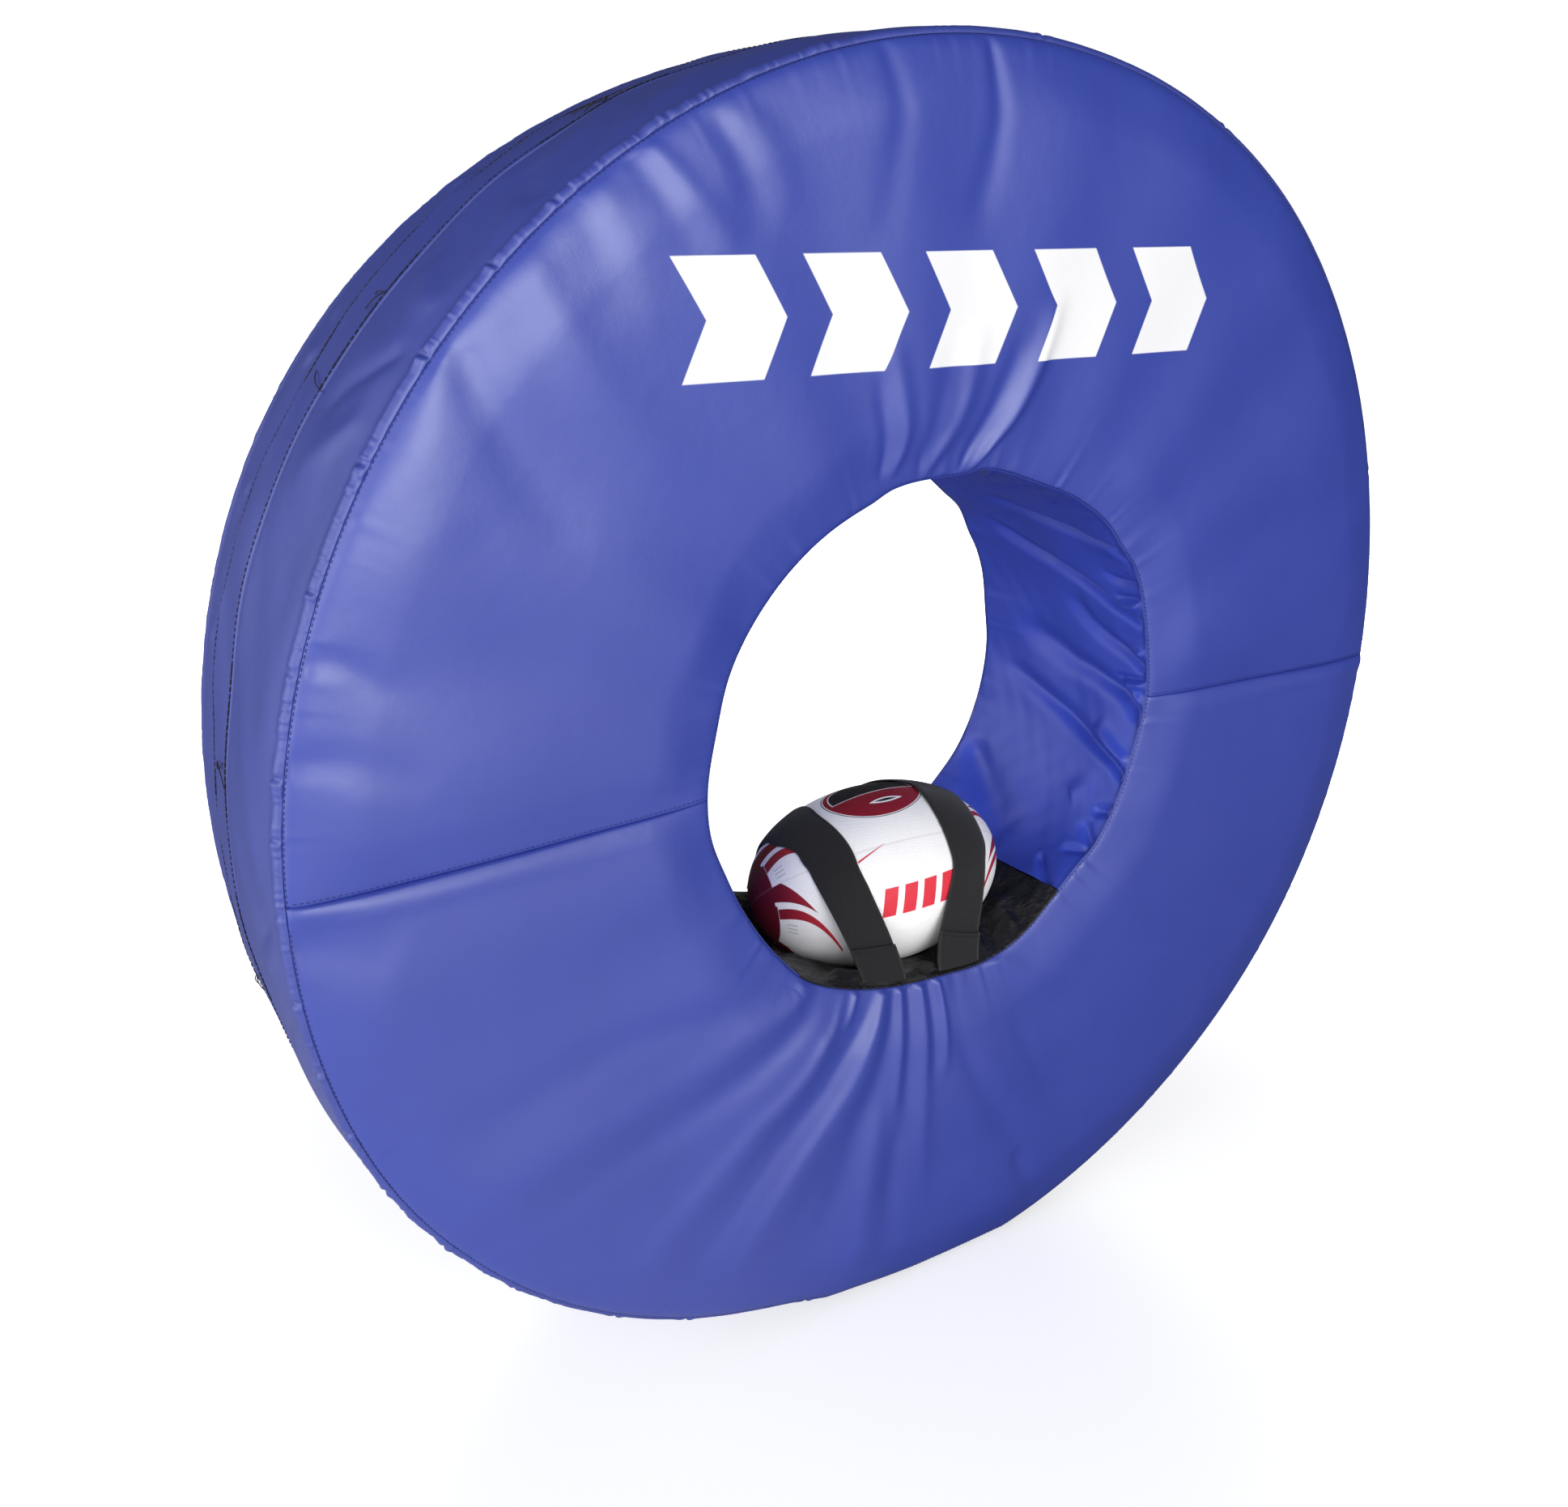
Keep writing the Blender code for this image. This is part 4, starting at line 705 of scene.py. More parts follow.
def strap_feet(x, side):
    """Foot of a strap in the ball's axes, the ball's radius there and where the strap touches it."""
    radius = (BALL_DIAMETER / 2 + STRAP_CLEARANCE) * np.sqrt(1 - (x / (BALL_LENGTH / 2 + STRAP_CLEARANCE)) ** 2)
    foot_z = side * (HALF_WIDTH - STRAP_INSET) + 0 * x
    foot_x = BALL_CENTRE[0] + x
    axis = BALL_AXES[:, 0]
    for _ in range(6):
        foot_y = bore_floor(foot_x, foot_z) + STRAP_FOOT_GAP
        seen = (foot_x - BALL_CENTRE[0]) * axis[0] + (foot_y - BALL_CENTRE[1]) * axis[1]
        foot_x = foot_x + (x - seen - (foot_z - BALL_CENTRE[2]) * axis[2]) / axis[0]
    foot = (np.stack([foot_x, foot_y, foot_z], -1) - BALL_CENTRE) @ BALL_AXES
    toward = np.arctan2(foot[..., 1], side * foot[..., 2])
    reach = np.hypot(foot[..., 1], foot[..., 2])
    return foot[..., 1], foot[..., 2], radius, toward + np.arccos(radius / reach)


def strap_point(x, along):
    """World points of a strap's inner side; along is 0 at the front foot and 1 at the back one."""
    side = np.where(along < 0.5, 1, -1)
    foot_y, foot_z, radius, touch = strap_feet(x, side)
    from_foot = np.where(side > 0, along, 1 - along)
    share = np.clip(from_foot / FREE_SHARE, 0, 1)
    turn = touch + (math.pi / 2 - touch) * np.clip((from_foot - FREE_SHARE) / (0.5 - FREE_SHARE), 0, 1)
    y, z = radius * np.sin(turn), side * radius * np.cos(turn)
    point = np.stack([x, foot_y + (y - foot_y) * share, foot_z + (z - foot_z) * share], -1)
    point = BALL_CENTRE + point @ BALL_AXES.T
    return to_world(point[..., 0], point[..., 1], point[..., 2])


def strap_place(shares, across, along):
    """Place along the ball and share of the course, for a place across a strap that leans."""
    length = math.pi * BALL_DIAMETER / 2 + BALL_DIAMETER
    ahead, behind = (strap_centre(shares, along + off) for off in (COURSE_STEP / 2, -COURSE_STEP / 2))
    lean = np.arctan2(ahead - behind, length * COURSE_STEP)
    moved = np.clip(along - across * np.sin(lean) / length, 0, 1)
    return strap_centre(shares, along) + across * np.cos(lean), np.where((along > 0) & (along < 1), moved, along)


def strap_surface(shares, across, along):
    """World points of a strap's inner side and the outward direction there."""
    def place(more_across, more_along):
        return strap_point(*strap_place(shares, across + more_across, np.clip(along + more_along, 0, 1)))

    step = 0.004
    ahead = place(0, step) - place(0, -step)
    side = place(0.002, 0) - place(-0.002, 0)
    return place(0, 0), unit(np.cross(side, ahead))


def webbing(name, shares, low, high, rows, lift, thick, width):
    """A woven strip along part of a strap's course, with rounded edges; low and high are shares of that course."""
    span = np.linspace(-width / 2, width / 2, 13)
    across, along = np.broadcast_arrays(np.concatenate([span, -span]), np.linspace(low, high, rows)[:, None])
    top = np.repeat([0.5, -0.5], 13)
    edge = np.clip((width / 2 - np.abs(across)) / (0.8 * thick), 0, 1)
    points, out = strap_surface(shares, across, along)
    rise = lift + thick * (0.5 + top * np.sqrt(1 - (1 - edge) ** 2))
    uv = np.stack([across, along * STRAP_COURSE], -1)
    return grid_object(name, points + out * rise[..., None], uv, round_v=True)


# Ball


def ball_mesh(name, turns, rows):
    """The ball's cover about its own middle, with grooves and stitch holes at its four seams."""
    turn, slope = np.broadcast_arrays(
        np.linspace(0, math.tau, turns, endpoint=False)[:, None], np.linspace(0, math.pi, rows)
    )
    seam = np.abs(np.angle(np.exp(4j * (turn - math.radians(45))))) / 4
    radius = BALL_DIAMETER / 2 * np.sin(slope)
    off = seam * np.maximum(radius, 1e-6)
    groove = 0.0003 * np.exp(-((off / 0.0010) ** 2))
    holes = 0.00012 * np.exp(-(((off - 0.0028) / 0.0010) ** 2)) * (0.5 + 0.5 * np.cos(slope * 190))
    radius = radius - (groove + holes) * np.sin(slope) ** 0.5
    points = np.stack([-BALL_LENGTH / 2 * np.cos(slope), -radius * np.cos(turn), radius * np.sin(turn)], -1)
    uv = np.stack([turn * BALL_DIAMETER / 2, slope * BALL_LENGTH / 2], -1)
    item = grid_object(name, points, uv, round_u=True)
    stood = np.array(((1, 0, 0), (0, 0, -1), (0, 1, 0)), float)
    item.matrix_world = Matrix(stood @ BALL_AXES @ stood.T).to_4x4()
    item.location = to_world(*BALL_CENTRE)
    return item


# Materials

MIX_A, MIX_B, MIX_RESULT = 6, 7, 2  # a Mix node's sockets for colours


def wire(tree, kind, slots=(), **settings):
    """A new shader node, with settings, and with numbers, colours or other nodes' outputs in its slots."""
    made = tree.nodes.new(kind)
    for key, value in settings.items():
        setattr(made, key, value)
    for slot, value in dict(slots).items():
        value = getattr(value, "socket", value)
        if isinstance(value, bpy.types.NodeSocket):
            tree.links.new(value, made.inputs[slot])
        else:
            made.inputs[slot].default_value = value
    return made


class Field:
    """A number that varies over a surface, worked out by Math nodes."""

    def __init__(self, tree, socket):
        self.tree = tree
        self.socket = socket

    def math(self, operation, *others):
        node = wire(self.tree, "ShaderNodeMath", enumerate((self, *others)), operation=operation)
        return Field(self.tree, node.outputs[0])

    def __add__(self, other):
        return self.math("ADD", other)

    def __sub__(self, other):
        return self.math("SUBTRACT", other)

    def __mul__(self, other):
        return self.math("MULTIPLY", other)

    def __neg__(self):
        return self * -1.0

    def abs(self):
        return self.math("ABSOLUTE")

    def max(self, other):
        return self.math("MAXIMUM", other)

    def between(self, low, high, first=0.0, last=1.0):
        """First at low and last at high, eased."""
        node = wire(self.tree, "ShaderNodeMapRange", {
            "Value": self, "From Min": low, "From Max": high, "To Min": first, "To Max": last,
        }, interpolation_type="SMOOTHSTEP")
        return Field(self.tree, node.outputs["Result"])

    def over(self, limit, soft=0.0004):
        """1 where the number is over the limit."""
        return self.between(limit - soft, limit + soft)

    def under(self, limit, soft=0.0004):
        """1 where the number is under the limit."""
        return (-self).over(-limit, soft)

    def above(self, other, soft=0.4):
        """1 where the number is over another one."""
        return (self - other).over(0.0, soft)

    def below(self, other, soft=0.4):
        """1 where the number is under another one."""
        return (other - self).over(0.0, soft)


class Finish:
    """A material under construction: its Principled shader and a few helpers."""

    def __init__(self, name, roughness, specular=0.5):
        self.material = bpy.data.materials.new(name)
        self.material.use_nodes = True
        self.tree = self.material.node_tree
        self.shader = self.tree.nodes["Principled BSDF"]
        self.shader.inputs["Roughness"].default_value = roughness
        self.shader.inputs["Specular IOR Level"].default_value = specular
        self.bumped = None

    def coordinates(self):
        return wire(self.tree, "ShaderNodeTexCoord").outputs["Object"]

    def axes(self, uv=None):
        """The object's coordinates, or those of a UV map, one by one."""
        place = wire(self.tree, "ShaderNodeUVMap", uv_map=uv).outputs["UV"] if uv else self.coordinates()
        parts = wire(self.tree, "ShaderNodeSeparateXYZ", {0: place})
        return [Field(self.tree, socket) for socket in parts.outputs]

    def noise(self, scale, detail=2.0, stretch=None, rough=0.5):
        at = self.coordinates()
        if stretch:
            at = wire(self.tree, "ShaderNodeMapping", {"Scale": stretch, "Vector": at}).outputs["Vector"]
        slots = {"Scale": scale, "Detail": detail, "Roughness": rough, "Vector": at}
        return Field(self.tree, wire(self.tree, "ShaderNodeTexNoise", slots).outputs["Fac"])

    def mix(self, factor, a, b):
        """Colour a where factor is 0 and b where it is 1."""
        a, b = ((*value, 1) if isinstance(value, tuple) else value for value in (a, b))
        slots = {"Factor": factor, MIX_A: a, MIX_B: b}
        return wire(self.tree, "ShaderNodeMix", slots, data_type="RGBA").outputs[MIX_RESULT]

    def colour(self, value):
        """Gives the shader its base colour: a plain one or another node's output."""
        slot = self.shader.inputs["Base Color"]
        if isinstance(value, tuple):
            slot.default_value = (*value, 1)
        else:
            self.tree.links.new(value, slot)

    def rough(self, field, low, high):
        made = wire(self.tree, "ShaderNodeMapRange", {"Value": field, "To Min": low, "To Max": high})
        self.tree.links.new(made.outputs["Result"], self.shader.inputs["Roughness"])

    def bump(self, field, height, strength=1.0):
        slots = {"Strength": strength, "Distance": height, "Height": field}
        if self.bumped:
            slots["Normal"] = self.bumped
        self.bumped = wire(self.tree, "ShaderNodeBump", slots).outputs["Normal"]
        self.tree.links.new(self.bumped, self.shader.inputs["Normal"])


def shade(colour, share):
    return tuple(share * part for part in colour)


def vinyl(name, colour, dark, roughness, motif=False, specular=1.0, edge=None):
    """Satin coated fabric: its colour and gloss drift slowly, over small creases and a fine grain.

    A motif puts the chevrons on it, and an edge is the plain colour that it gets beside the seams, where it is in
    full light, in place of a colour brightened as painted fill light.
    """
    finish = Finish(name, roughness, specular)
    tone = (finish.noise(3.2, 3.0) * 0.7 + finish.noise(26.0, 4.0) * 0.3).between(0.30, 0.72)
    base = finish.mix(tone, dark, colour)
    if motif:
        x, _, z = finish.axes()
        base = finish.mix(chevrons(x, z - AXIS_HEIGHT), base, (0.88, 0.88, 0.90))
    # Beside the seams, where it is in full light, it takes the plain edge colour instead of a colour brightened as
    # painted fill light.
    if edge:
        _, y, _ = finish.axes()
        base = finish.mix(y.abs().over(SEAM_HEIGHT - 0.005, 0.003), base, edge)
    finish.colour(base)
    finish.rough(finish.noise(9.0, 5.0), roughness - 0.06, roughness + 0.07)
    finish.bump(finish.noise(55.0, 3.0), 0.0010, 0.35)
    finish.bump(finish.noise(850.0, 2.0), 0.00010, 0.6)
    return finish.material


def row_of(count, place, first, step, half_width, soft):
    """A mask of even bars across a field."""
    shape = None
    for n in range(count):
        bar = (place - (first + step * n)).abs().under(half_width, soft)
        shape = bar if shape is None else shape.max(bar)
    return shape


def chevrons(x, y):
    """A row of five plain slanted chevrons, as a mask."""
    rise = y - 0.400
    slant = x + rise * 0.10
    rise = rise.abs()
    return row_of(5, slant + rise * 0.55, -0.232, 0.116, 0.036, 0.0006) * rise.under(0.0455, 0.0006)


def black_vinyl(name):
    """Crumpled glossy vinyl."""
    finish = Finish(name, 0.28)
    finish.colour((0.009, 0.009, 0.010))
    finish.rough(finish.noise(60.0, 4.0), 0.18, 0.40)
    finish.bump(finish.noise(420.0, 3.0, rough=0.7), 0.0014, 0.9)
    finish.bump(finish.noise(120.0, 4.0, rough=0.62), 0.0036, 0.7)
    finish.bump(finish.noise(48.0, 3.0), 0.0070, 0.7)
    return finish.material


def woven(name, tint, ribs, across_ribs, height):
    """Woven elastic or webbing, from its own metre UVs."""
    finish = Finish(name, 0.82, 0.25)
    u, v, _ = finish.axes("metres")
    weave = (u * (math.tau * ribs)).math("SINE") * (v * (math.tau * across_ribs)).math("SINE")
    fuzz = finish.noise(900.0, 3.0)
    finish.colour(finish.mix((weave * 0.25 + fuzz).between(0.15, 0.95), shade(tint, 0.45), tint))
    finish.bump(weave, height, 0.6)
    finish.bump(fuzz, 0.0002, 0.5)
    finish.shader.inputs["Sheen Weight"].default_value = 0.12
    finish.shader.inputs["Sheen Roughness"].default_value = 0.5
    return finish.material


def thread(name, tint):
    finish = Finish(name, 0.6)
    finish.colour(finish.mix(finish.noise(1800.0, 2.0), shade(tint, 0.6), tint))
    finish.bump(finish.noise(2500.0, 1.0, stretch=(1, 1, 4)), 0.0001, 0.5)
    return finish.material


def arch(out, rise, bend, start):
    """A curved edge of the ball's print: how far round it lies, by the way out from its start."""
    return out * rise - out * out * bend + start


def ball_finish(name):
    """Pimpled rubber with a plain red and maroon print: end swooshes, a badge disc and slanted bars."""
    finish = Finish(name, 0.48, 0.25)
    white, black = (0.96, 0.955, 0.96), (0.022, 0.021, 0.023)
    x, y, z = finish.axes()
    turn = z.math("ARCTAN2", -y) * (1 / DEGREE)
    size = (y * y + z * z).math("SQRT")
    grime = finish.noise(14.0, 4.0).between(0.35, 0.85)
    base = finish.mix(grime, white, (0.90, 0.895, 0.905))
    seam = ((turn - 45.0) * (1 / 90.0)).math("WRAP", 0.5, -0.5) * 90.0
    off = (seam * size * DEGREE).abs()

    # One pattern on each quarter, out from the ball's middle; the right end's starts further out
    end = x.abs() - x.over(0.0) * 0.018
    quarter = (turn * (1 / 90.0)).math("WRAP", 0.5, -0.5) * 90.0
    on_top = (turn - 90.0).abs().under(45.0, 0.1)
    across = quarter + on_top * 25.0
    maroon = finish.mix(end.between(0.080, 0.125), (0.38, 0.022, 0.040), (0.13, 0.008, 0.016))
    red = finish.mix(end.between(0.070, 0.120), (0.56, 0.030, 0.050), (0.24, 0.014, 0.026))
    out = end - 0.0856
    wedge_low = arch(out, 800.0, 10500.0, 9.5)
    wedge = across.above(wedge_low) * across.below(out * 1390.0 + 9.5)
    base = finish.mix(wedge.max(end.over(0.1182)), base, maroon)
    line = across.below(wedge_low) * across.above(wedge_low - 2.5 - out * 90.0)
    base = finish.mix(line * end.under(0.1195), base, white)
    swoosh_top = arch(end - 0.0725, 1440.0, 18000.0, -13.2)
    swoosh_low = arch(end - 0.0663, 1530.0, 19400.0, -26.2)
    swoosh = across.below(swoosh_top) * across.above(swoosh_low) * end.over(0.0655) * end.under(0.1180)
    base = finish.mix(swoosh, base, red)
    ticks = (across * 1.3).math("SINE").between(0.45, 0.75)
    ticks = ticks * (end - 0.1085).abs().under(0.0040) * (across + 10.0).abs().under(7.0, 0.3)
    base = finish.mix(ticks * 0.55, base, (0.34, 0.34, 0.36))

    # Badge disc on top, without its lettering
    arc = (turn - 91.5) * 0.0925 * DEGREE
    disc = (((x - 0.0060) * 0.84).math("POWER", 2.0) + arc * arc).math("SQRT")
    for limit, colour in ((0.0445, (0.030, 0.028, 0.030)), (0.0436, white), (0.0426, (0.27, 0.016, 0.030))):
        base = finish.mix(disc.under(limit), base, colour)
    level = arc - x * 0.10
    for limit, low, colour in ((0.0385, -0.0040, white), (0.0375, -0.0030, black)):
        base = finish.mix(disc.under(limit) * level.over(low), base, colour)
    lens = ((x - 0.0135) * (1 / 0.0185)).math("POWER", 2.0) + ((arc + 0.0225 - x * 0.05) * (1 / 0.0042)).abs()
    for limit, colour in ((1.0, white), (0.45, black)):
        base = finish.mix(lens.under(limit, 0.05), base, colour)

    # Slanted bars on the front, in place of lettering
    low = (turn - 9.3) * size * DEGREE
    bars = row_of(4, x - low * 0.25, -0.0170, 0.0210, 0.0070, 0.0003)
    base = finish.mix(bars * low.abs().under(0.0145), base, (0.74, 0.035, 0.060))
    flick_line = (turn - 42.2) * size * DEGREE - (x + 0.0245) * 0.37
    flick = (flick_line.abs() + (x + 0.0373) * 0.030).under(0.0011, 0.0003)
    base = finish.mix(flick * (x + 0.0245).abs().under(0.0150), base, (0.62, 0.035, 0.060))
    finish.colour(finish.mix(off.under(0.0010, 0.0006) * 0.16, base, (0.30, 0.26, 0.26)))
    slots = {"Scale": 520.0, "Randomness": 0.25, "Vector": finish.coordinates()}
    dots = wire(finish.tree, "ShaderNodeTexVoronoi", slots, feature="F1")
    finish.bump(Field(finish.tree, dots.outputs["Distance"]).under(0.35, 0.2), 0.0004, 0.5)
    finish.bump(finish.noise(60.0, 3.0), 0.0008, 0.2)
    finish.rough(grime, 0.40, 0.58)
    return finish.material


def plain(name, colour, roughness):
    """Hidden or small parts: plain colour with a fine grain."""
    finish = Finish(name, roughness)
    finish.colour(finish.mix(finish.noise(120.0, 4.0), shade(colour, 0.75), colour))
    finish.bump(finish.noise(400.0, 2.0), 0.0004, 0.4)
    return finish.material


# Build

BLUE, DEEP_BLUE = (0.029, 0.055, 0.362), (0.0245, 0.047, 0.330)
blue_face = vinyl("blue_vinyl_face_look", BLUE, DEEP_BLUE, 0.42, motif=True)
blue_back = vinyl("blue_vinyl_back_look", BLUE, DEEP_BLUE, 0.47)
blue_tread = vinyl("blue_vinyl_tread_look", (0.032, 0.055, 0.340), (0.025, 0.042, 0.270), 0.50)
# The lining's colours are brighter than the face's as painted fill light for the shade inside the bore; beside the
# seams it keeps the face's deep blue.
blue_lining_painted_fill = vinyl(
    "blue_vinyl_lining_painted_fill_look", (0.040, 0.076, 0.530), (0.034, 0.068, 0.480), 0.40, specular=0.6, edge=DEEP_BLUE
)
cradle_look = black_vinyl("black_vinyl_look")
elastic = woven("black_elastic_look", (0.022, 0.022, 0.024), 700, 520, 0.00022)
tape_look = woven("black_webbing_look", (0.020, 0.020, 0.022), 620, 620, 0.00025)
blue_thread = thread("blue_thread_look", (0.020, 0.030, 0.170))
dark_thread = thread("dark_thread_look", (0.012, 0.014, 0.050))
black_thread = thread("black_thread_look", (0.006, 0.006, 0.008))
ball_look = ball_finish("ball_rubber_look")

for front in (True, False):
    for upper in (True, False):
        half = "front" if front else "back"
        word = f"face_{half}_{'upper' if upper else 'lower'}"
        piece = face_cover(f"{word}_cover", front, upper, *((760, 170) if front else (420, 90)))
        nodes = (word, f"foam_slab_{half}") if upper else (word,)
        dress(piece, blue_face if front and upper else blue_back, "ring", "blue_vinyl_face", *nodes)

for piece, look, slot, padded, *nodes in (
    (tread_cover("tread_front_cover", 1, -0.0300, 3600), blue_tread, "blue_vinyl_tread", True,
     "tread_front_band", "foam_slab_middle"),
    (tread_cover("tread_back_cover", -1, -0.0300, 1800), blue_tread, "blue_vinyl_tread", True, "tread_back_band"),
    (closure_flap("closure_flap_cover", 1800), blue_tread, "blue_vinyl_tread", False,
     "closure_flap", "hook_tape", "loop_tape"),
    (bore_sleeve("bore_sleeve_cover", 900, 110), blue_lining_painted_fill, "blue_vinyl_lining", True, "bore_sleeve"),
    (ball_cradle("ball_cradle_cover", 260, 150), cradle_look, "black_vinyl", True, "ball_cradle"),
):
    dress(piece, look, "ring", slot, *nodes)

for hand, shares in STRAP_SHARES.items():
    strap = webbing(f"strap_{hand}_band", shares, 0.0, 1.0, 160, 0.0, STRAP_THICKNESS, STRAP_WIDTH)
    dress(strap, elastic, f"strap_{hand}", "black_elastic", f"strap_{hand}")
    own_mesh(strap)
    for end, side in (("front", 1), ("back", -1)):
        foot_y, foot_z, radius, touch = strap_feet(strap_centre(shares, np.array(0.0)), side)
        run = math.hypot(radius * math.sin(touch) - foot_y, side * radius * math.cos(touch) - foot_z)
        share = TAB_HEIGHT / run * FREE_SHARE
        low, high = (0.0, share) if side > 0 else (1 - share, 1.0)
        lift, width = STRAP_THICKNESS + TAB_GAP, STRAP_WIDTH + 0.001
        tab = webbing(f"strap_tab_{hand}_{end}_fold", shares, low, high, 26, lift, TAB_THICKNESS, width)
        dress(tab, tape_look, "ring", "black_webbing", f"strap_tab_{hand}_{end}")
        across = np.linspace(-TAB_SEWN_HALF, TAB_SEWN_HALF, 15)
        at = high - TAB_SEWN_SHARE * share if side > 0 else low + TAB_SEWN_SHARE * share
        line, out = strap_surface(shares, across, at + 0 * across)
        along = unit(np.gradient(line, axis=0))
        rows = sew(f"strap_tab_{hand}_{end}_stitches", line, along, out, 0.0024, 0.0004, STRAP_THICKNESS + 0.0031)
        dress(rows, black_thread, "ring", "black_webbing")

dress(
    ball_mesh("ball_cover", 512, 320), ball_look, "ball", "ball_rubber_white",
    "ball_panel_top", "ball_panel_back", "ball_panel_under", "ball_panel_front",
)
for node, level in (("bladder", 0.06), ("valve", 0.05)):
    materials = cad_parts[node].data.materials
    materials.clear()
    materials.append(plain(f"{node}_look", (level, level, level), 0.6))


# Stitching: step, length and thickness of the stitches of each kind of row
SEWN = {
    "rim": (0.0046, 0.0030, 0.00042),
    "bore": (0.0046, 0.0028, 0.00038),
    "join": (0.0046, 0.0030, 0.0004),
    "closure": (0.0052, 0.0038, 0.00048),
    "darning": (0.0061, 0.0052, 0.00055),
}
DARNED = ((110, 122), (134, 146), (166, 178), (184, 194), (20, 26), (250, 262))  # degrees round the flap's edges


def round_line(radius, z):
    """A sewn line at one radius and height round the ring."""
    turn = np.linspace(0, math.tau, 1800)
    x, y = stand(radius, turn, z + 0 * turn)
    return to_world(x, y, z + 0 * turn)


def sewn_row(name, kind, line, up, finish, slot, seed=1):
    """Stitches along a line of points; up is one direction, or a function that finds it at each place."""
    step, length, thick = SEWN[kind]
    centres, along = along_line(line, step)
    ups = up(centres) if callable(up) else np.tile(np.array(up, float), (len(centres), 1))
    return dress(sew(name, centres, along, unit(ups), length, thick, 0.0, seed), finish, "ring", slot)


def outward(centres):
    """The way out of the tread at places on it, before it is made a unit long."""
    return (centres - (0, 0, AXIS_HEIGHT)) * (1, 0, 1)


for word, side in (("front", 1), ("back", -1)):
    rim = round_line(RIM_SEAM_RADIUS - 0.0007, side * (SEAM_HEIGHT - RIM_DROP + 0.0010))
    bore = round_line(BORE_SEAM_RADIUS + 0.0010, side * (SEAM_HEIGHT + 0.0009))
    rows = [("rim", "", rim), ("bore", "", bore)]
    for hand, sign in (("left", -1), ("right", 1)):
        run = np.linspace(BORE_SEAM_RADIUS + 0.004, RIM_SEAM_RADIUS - 0.003, 400)
        turn = np.arctan2(0.0030, sign * run)
        height = SEAM_HEIGHT + face_height(run, turn, True, side > 0)
        x, y = stand(run, turn, side * HALF_WIDTH + 0 * run)
        join = to_world(x, y + SEAM_GAP / 2, side * (height + 0.0001))
        rows.append(("join", f"_{hand}", join))
    for kind, ending, line in rows:
        name = f"{kind}_stitches_{word}{ending}"
        sewn_row(name, kind, line, (0, -side, 0), blue_thread, "blue_vinyl_face")

turn = np.linspace(0, math.tau, 2400)
front_edge, back_edge = flap_edges(turn)
for word, z in (("front", front_edge - 0.0030), ("back", back_edge + 0.0032)):
    line = flap_point(turn, z, 0.0008)
    sewn_row(f"closure_stitches_{word}", "closure", line, outward, dark_thread, "blue_vinyl_tread", 7)
    for n, (low, high) in enumerate(DARNED):
        part = (turn > math.radians(low + 2 * (word == "back"))) & (turn < math.radians(high))
        line = flap_point(turn[part], z[part] + 0.0004, 0.0010)
        name = f"closure_darning_{word}_{n}"
        sewn_row(name, "darning", line, outward, black_thread, "blue_vinyl_tread", 11 + n)


def thread_end(name, angle, z, lengths, seed):
    """Loose thread on the tread: a few fine curved ends that lie on the flap."""
    rng = np.random.default_rng(seed)
    curve = bpy.data.curves.new(name, "CURVE")
    curve.dimensions = "3D"
    curve.bevel_depth = 0.00042
    curve.bevel_resolution = 2
    curve.use_fill_caps = True
    steps = 13
    for length in lengths:
        way = rng.uniform(0, math.tau)
        bend = rng.uniform(-70, 70)
        at = np.array([math.radians(angle) * RING_RADIUS, z])
        spline = curve.splines.new("POLY")
        spline.points.add(steps)
        for n, point in enumerate(spline.points):
            turn, across = at[:1] / RING_RADIUS, np.clip(at[1:], -0.10, 0.09)
            lift = 0.0019 + 0.0016 * math.sin(math.pi * n / steps)
            point.co = (*flap_point(turn, across, lift)[0], 1)
            at = at + length / steps * np.array([math.cos(way), math.sin(way)])
            way += bend * length / steps
    dress(new_object(name, curve), black_thread, "ring", "blue_vinyl_tread")


for n, (angle, z, *lengths) in enumerate((
    (115.7, -0.020, 0.030, 0.022, 0.018),
    (137.7, -0.014, 0.020, 0.012),
    (144.7, -0.040, 0.040),
    (174.5, -0.045, 0.040, 0.030),
    (192.4, -0.036, 0.024, 0.016),
    (300.0, -0.030, 0.026),
)):
    thread_end(f"loose_thread_{n}", angle, z, lengths, 100 + n)


# Camera, floor and light

PHOTO_WIDTH, FOCAL_LENGTH = 1937, 1844.587  # in pixels


def camera():
    """The camera solved from the outlines of the rim, the bore and the ball."""
    yaw, pitch, roll = 0.584611, -0.370057, 0.014495
    aimed = Matrix.Rotation(-yaw, 4, "Z") @ Matrix.Rotation(math.pi / 2 + pitch, 4, "X")
    place = aimed @ Matrix.Rotation(roll, 4, "Z")
    place.translation = (-0.8456, -1.1255, 1.0992)
    data = bpy.data.cameras.new("camera")
    data.sensor_fit = "HORIZONTAL"
    data.sensor_width = 36
    data.lens = FOCAL_LENGTH / PHOTO_WIDTH * data.sensor_width
    data.clip_end = 60
    item = new_object("camera", data)
    item.matrix_world = place
    bpy.context.scene.camera = item


def lamp(name, place, target, width, height, power, glossy=True):
    """A square-cornered area lamp, which glossy rays may be kept from seeing."""
    data = bpy.data.lights.new(name, "AREA")
    data.shape = "RECTANGLE"
    data.size, data.size_y = width, height
    data.energy = power
    item = new_object(name, data)
    item.visible_glossy = glossy
    item.location = place
    item.rotation_euler = (Vector(target) - Vector(place)).to_track_quat("-Z", "Y").to_euler()


def camera_ray(tree):
    return wire(tree, "ShaderNodeLightPath").outputs["Is Camera Ray"]


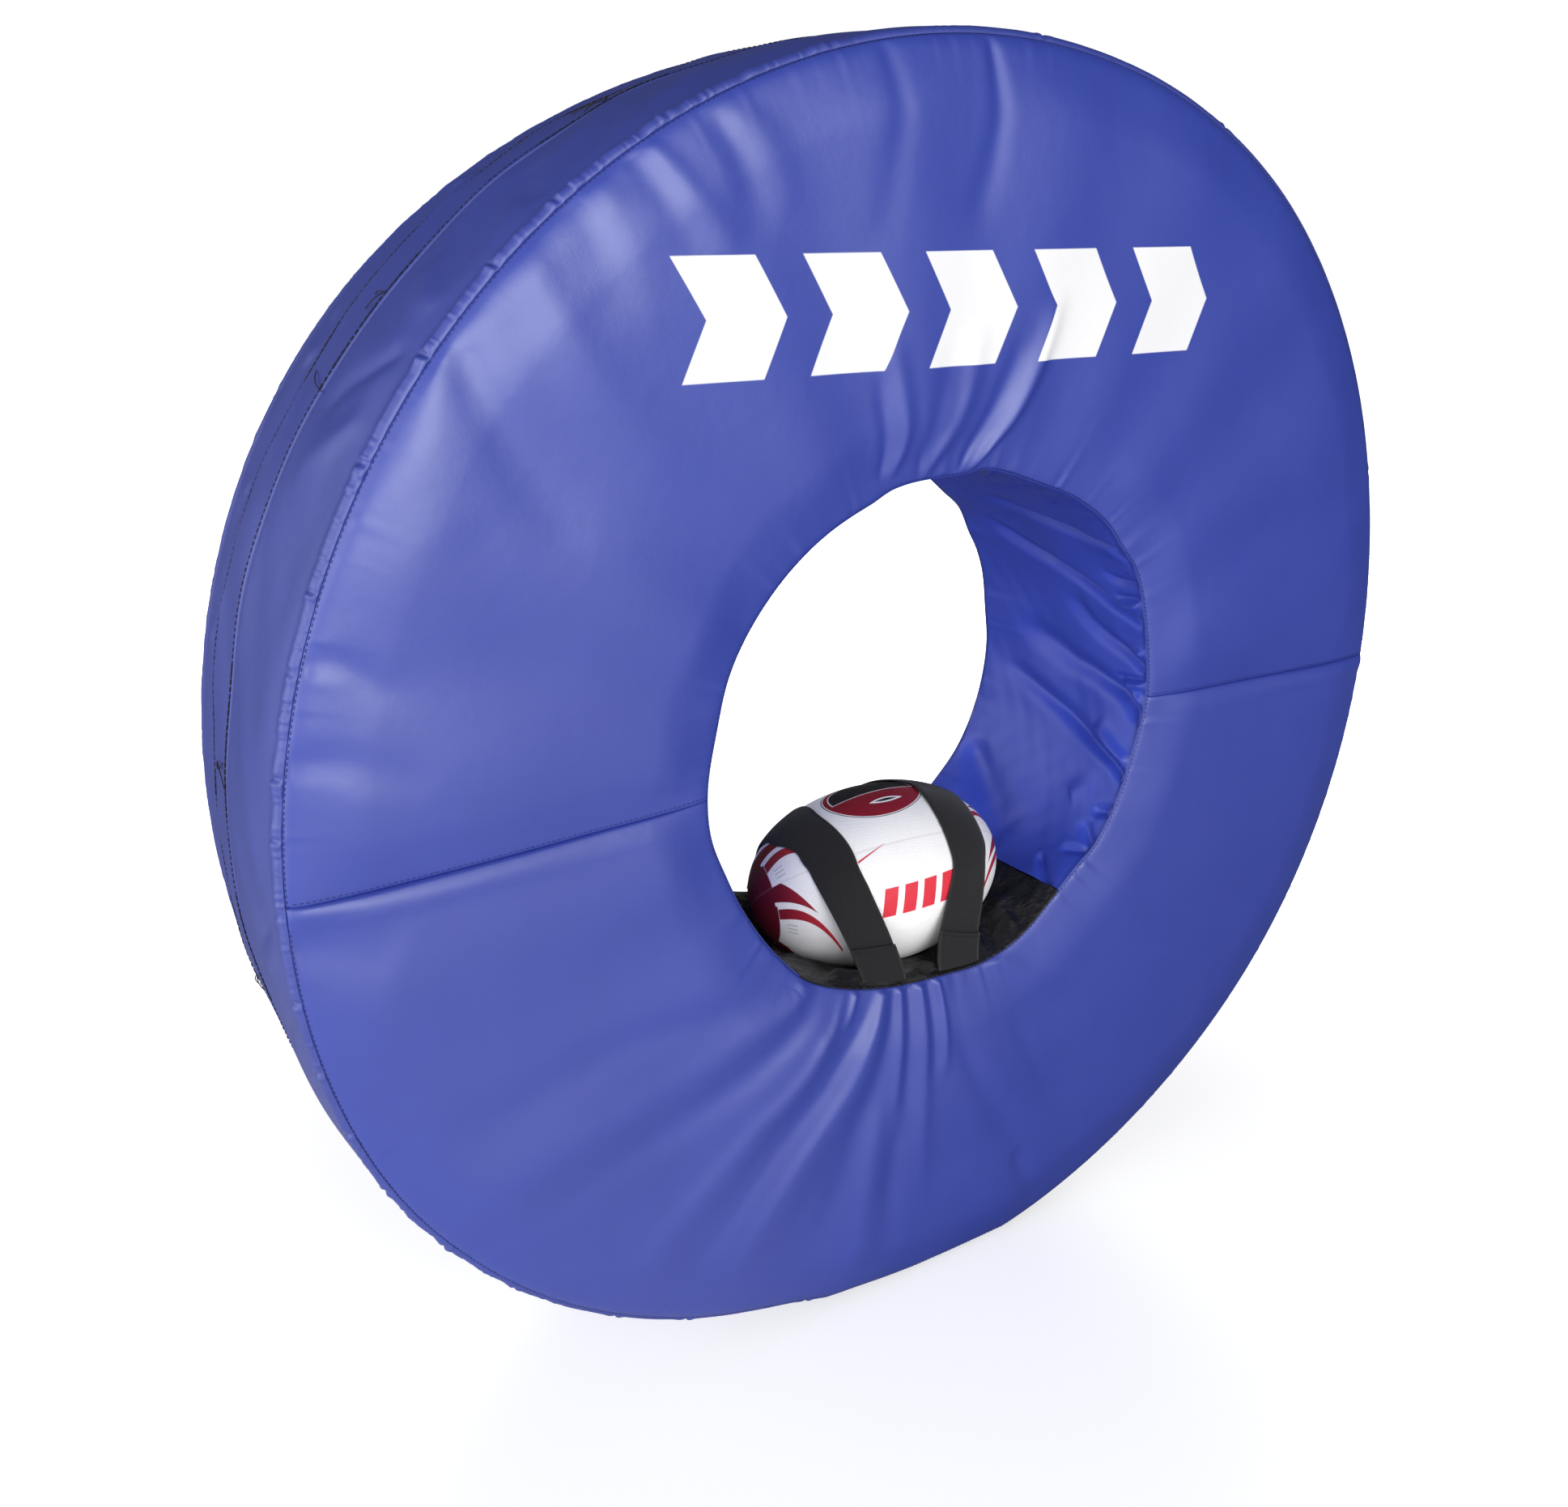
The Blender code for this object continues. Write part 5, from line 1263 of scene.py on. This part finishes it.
def pale_floor():
    """White to the camera, with a soft shadow; to the object it is darker at its right and back."""
    mesh = bpy.data.meshes.new("floor")
    shape = bmesh.new()
    bmesh.ops.create_grid(shape, x_segments=1, y_segments=1, size=9)
    shape.to_mesh(mesh)
    shape.free()
    floor = new_object("floor", mesh)
    floor.location = (0, 0, -0.0006)
    look = Finish("floor_look", 0.85)
    tree, paint = look.tree, look.shader.outputs[0]
    seen = Field(tree, camera_ray(tree))
    x, y, _ = look.axes()
    turned = (x + y * 0.87).between(-0.45, 0.00)
    lit, dimmed = (0.86, 0.86, 0.86), (0.15, 0.15, 0.15)
    look.colour(look.mix(turned * (seen * -1.0 + 1.0), lit, dimmed))
    far = (x * x + y * y).math("SQRT")
    glow = wire(tree, "ShaderNodeEmission", {"Color": WHITE, "Strength": far.between(0.45, 1.8, 0.45, 1.0)})
    both = wire(tree, "ShaderNodeAddShader", {0: paint, 1: glow.outputs[0]})
    pick = wire(tree, "ShaderNodeMixShader", {0: seen, 1: paint, 2: both.outputs[0]})
    tree.links.new(pick.outputs[0], tree.nodes["Material Output"].inputs["Surface"])
    mesh.materials.append(look.material)


def pale_world():
    """White to the camera; to the object a wide soft light from the front left, dimmer overhead."""
    world = bpy.data.worlds.new("world")
    world.use_nodes = True
    tree = world.node_tree
    place = wire(tree, "ShaderNodeTexCoord").outputs["Generated"]
    x, y, z = (Field(tree, socket) for socket in wire(tree, "ShaderNodeSeparateXYZ", {0: place}).outputs)
    facing = x * -math.sin(LIGHT_SIDE) - y * math.cos(LIGHT_SIDE)
    level = facing.between(-0.06, 0.20) * z.between(0.30, 0.85, 1.0, 0.15) * LIGHT_LEVEL + 0.05
    light = tree.nodes["Background"]
    light.inputs["Color"].default_value = WHITE
    tree.links.new(level.socket, light.inputs["Strength"])
    seen = wire(tree, "ShaderNodeBackground", {"Color": WHITE, "Strength": 1.0})
    pick = wire(tree, "ShaderNodeMixShader", {0: camera_ray(tree), 1: light.outputs[0], 2: seen.outputs[0]})
    tree.links.new(pick.outputs[0], tree.nodes["World Output"].inputs["Surface"])
    bpy.context.scene.world = world


WHITE = (1, 1, 1, 1)
LIGHT_SIDE = math.radians(56)  # how far left of the front the world's soft light is centred
LIGHT_LEVEL = 1.65

camera()
pale_floor()
pale_world()
lamp("key", (-0.6, -3.0, 1.4), (0, 0, 0.6), 1.8, 1.6, 38)
lamp("left_fill", (-2.8, -0.35, 0.8), (0, 0, 0.55), 1.6, 1.6, 13)
lamp("back_fill", (2.4, 2.7, 1.15), (0, 0, 0.6), 2.0, 1.6, 95, glossy=False)
bpy.context.scene.view_settings.view_transform = "Standard"
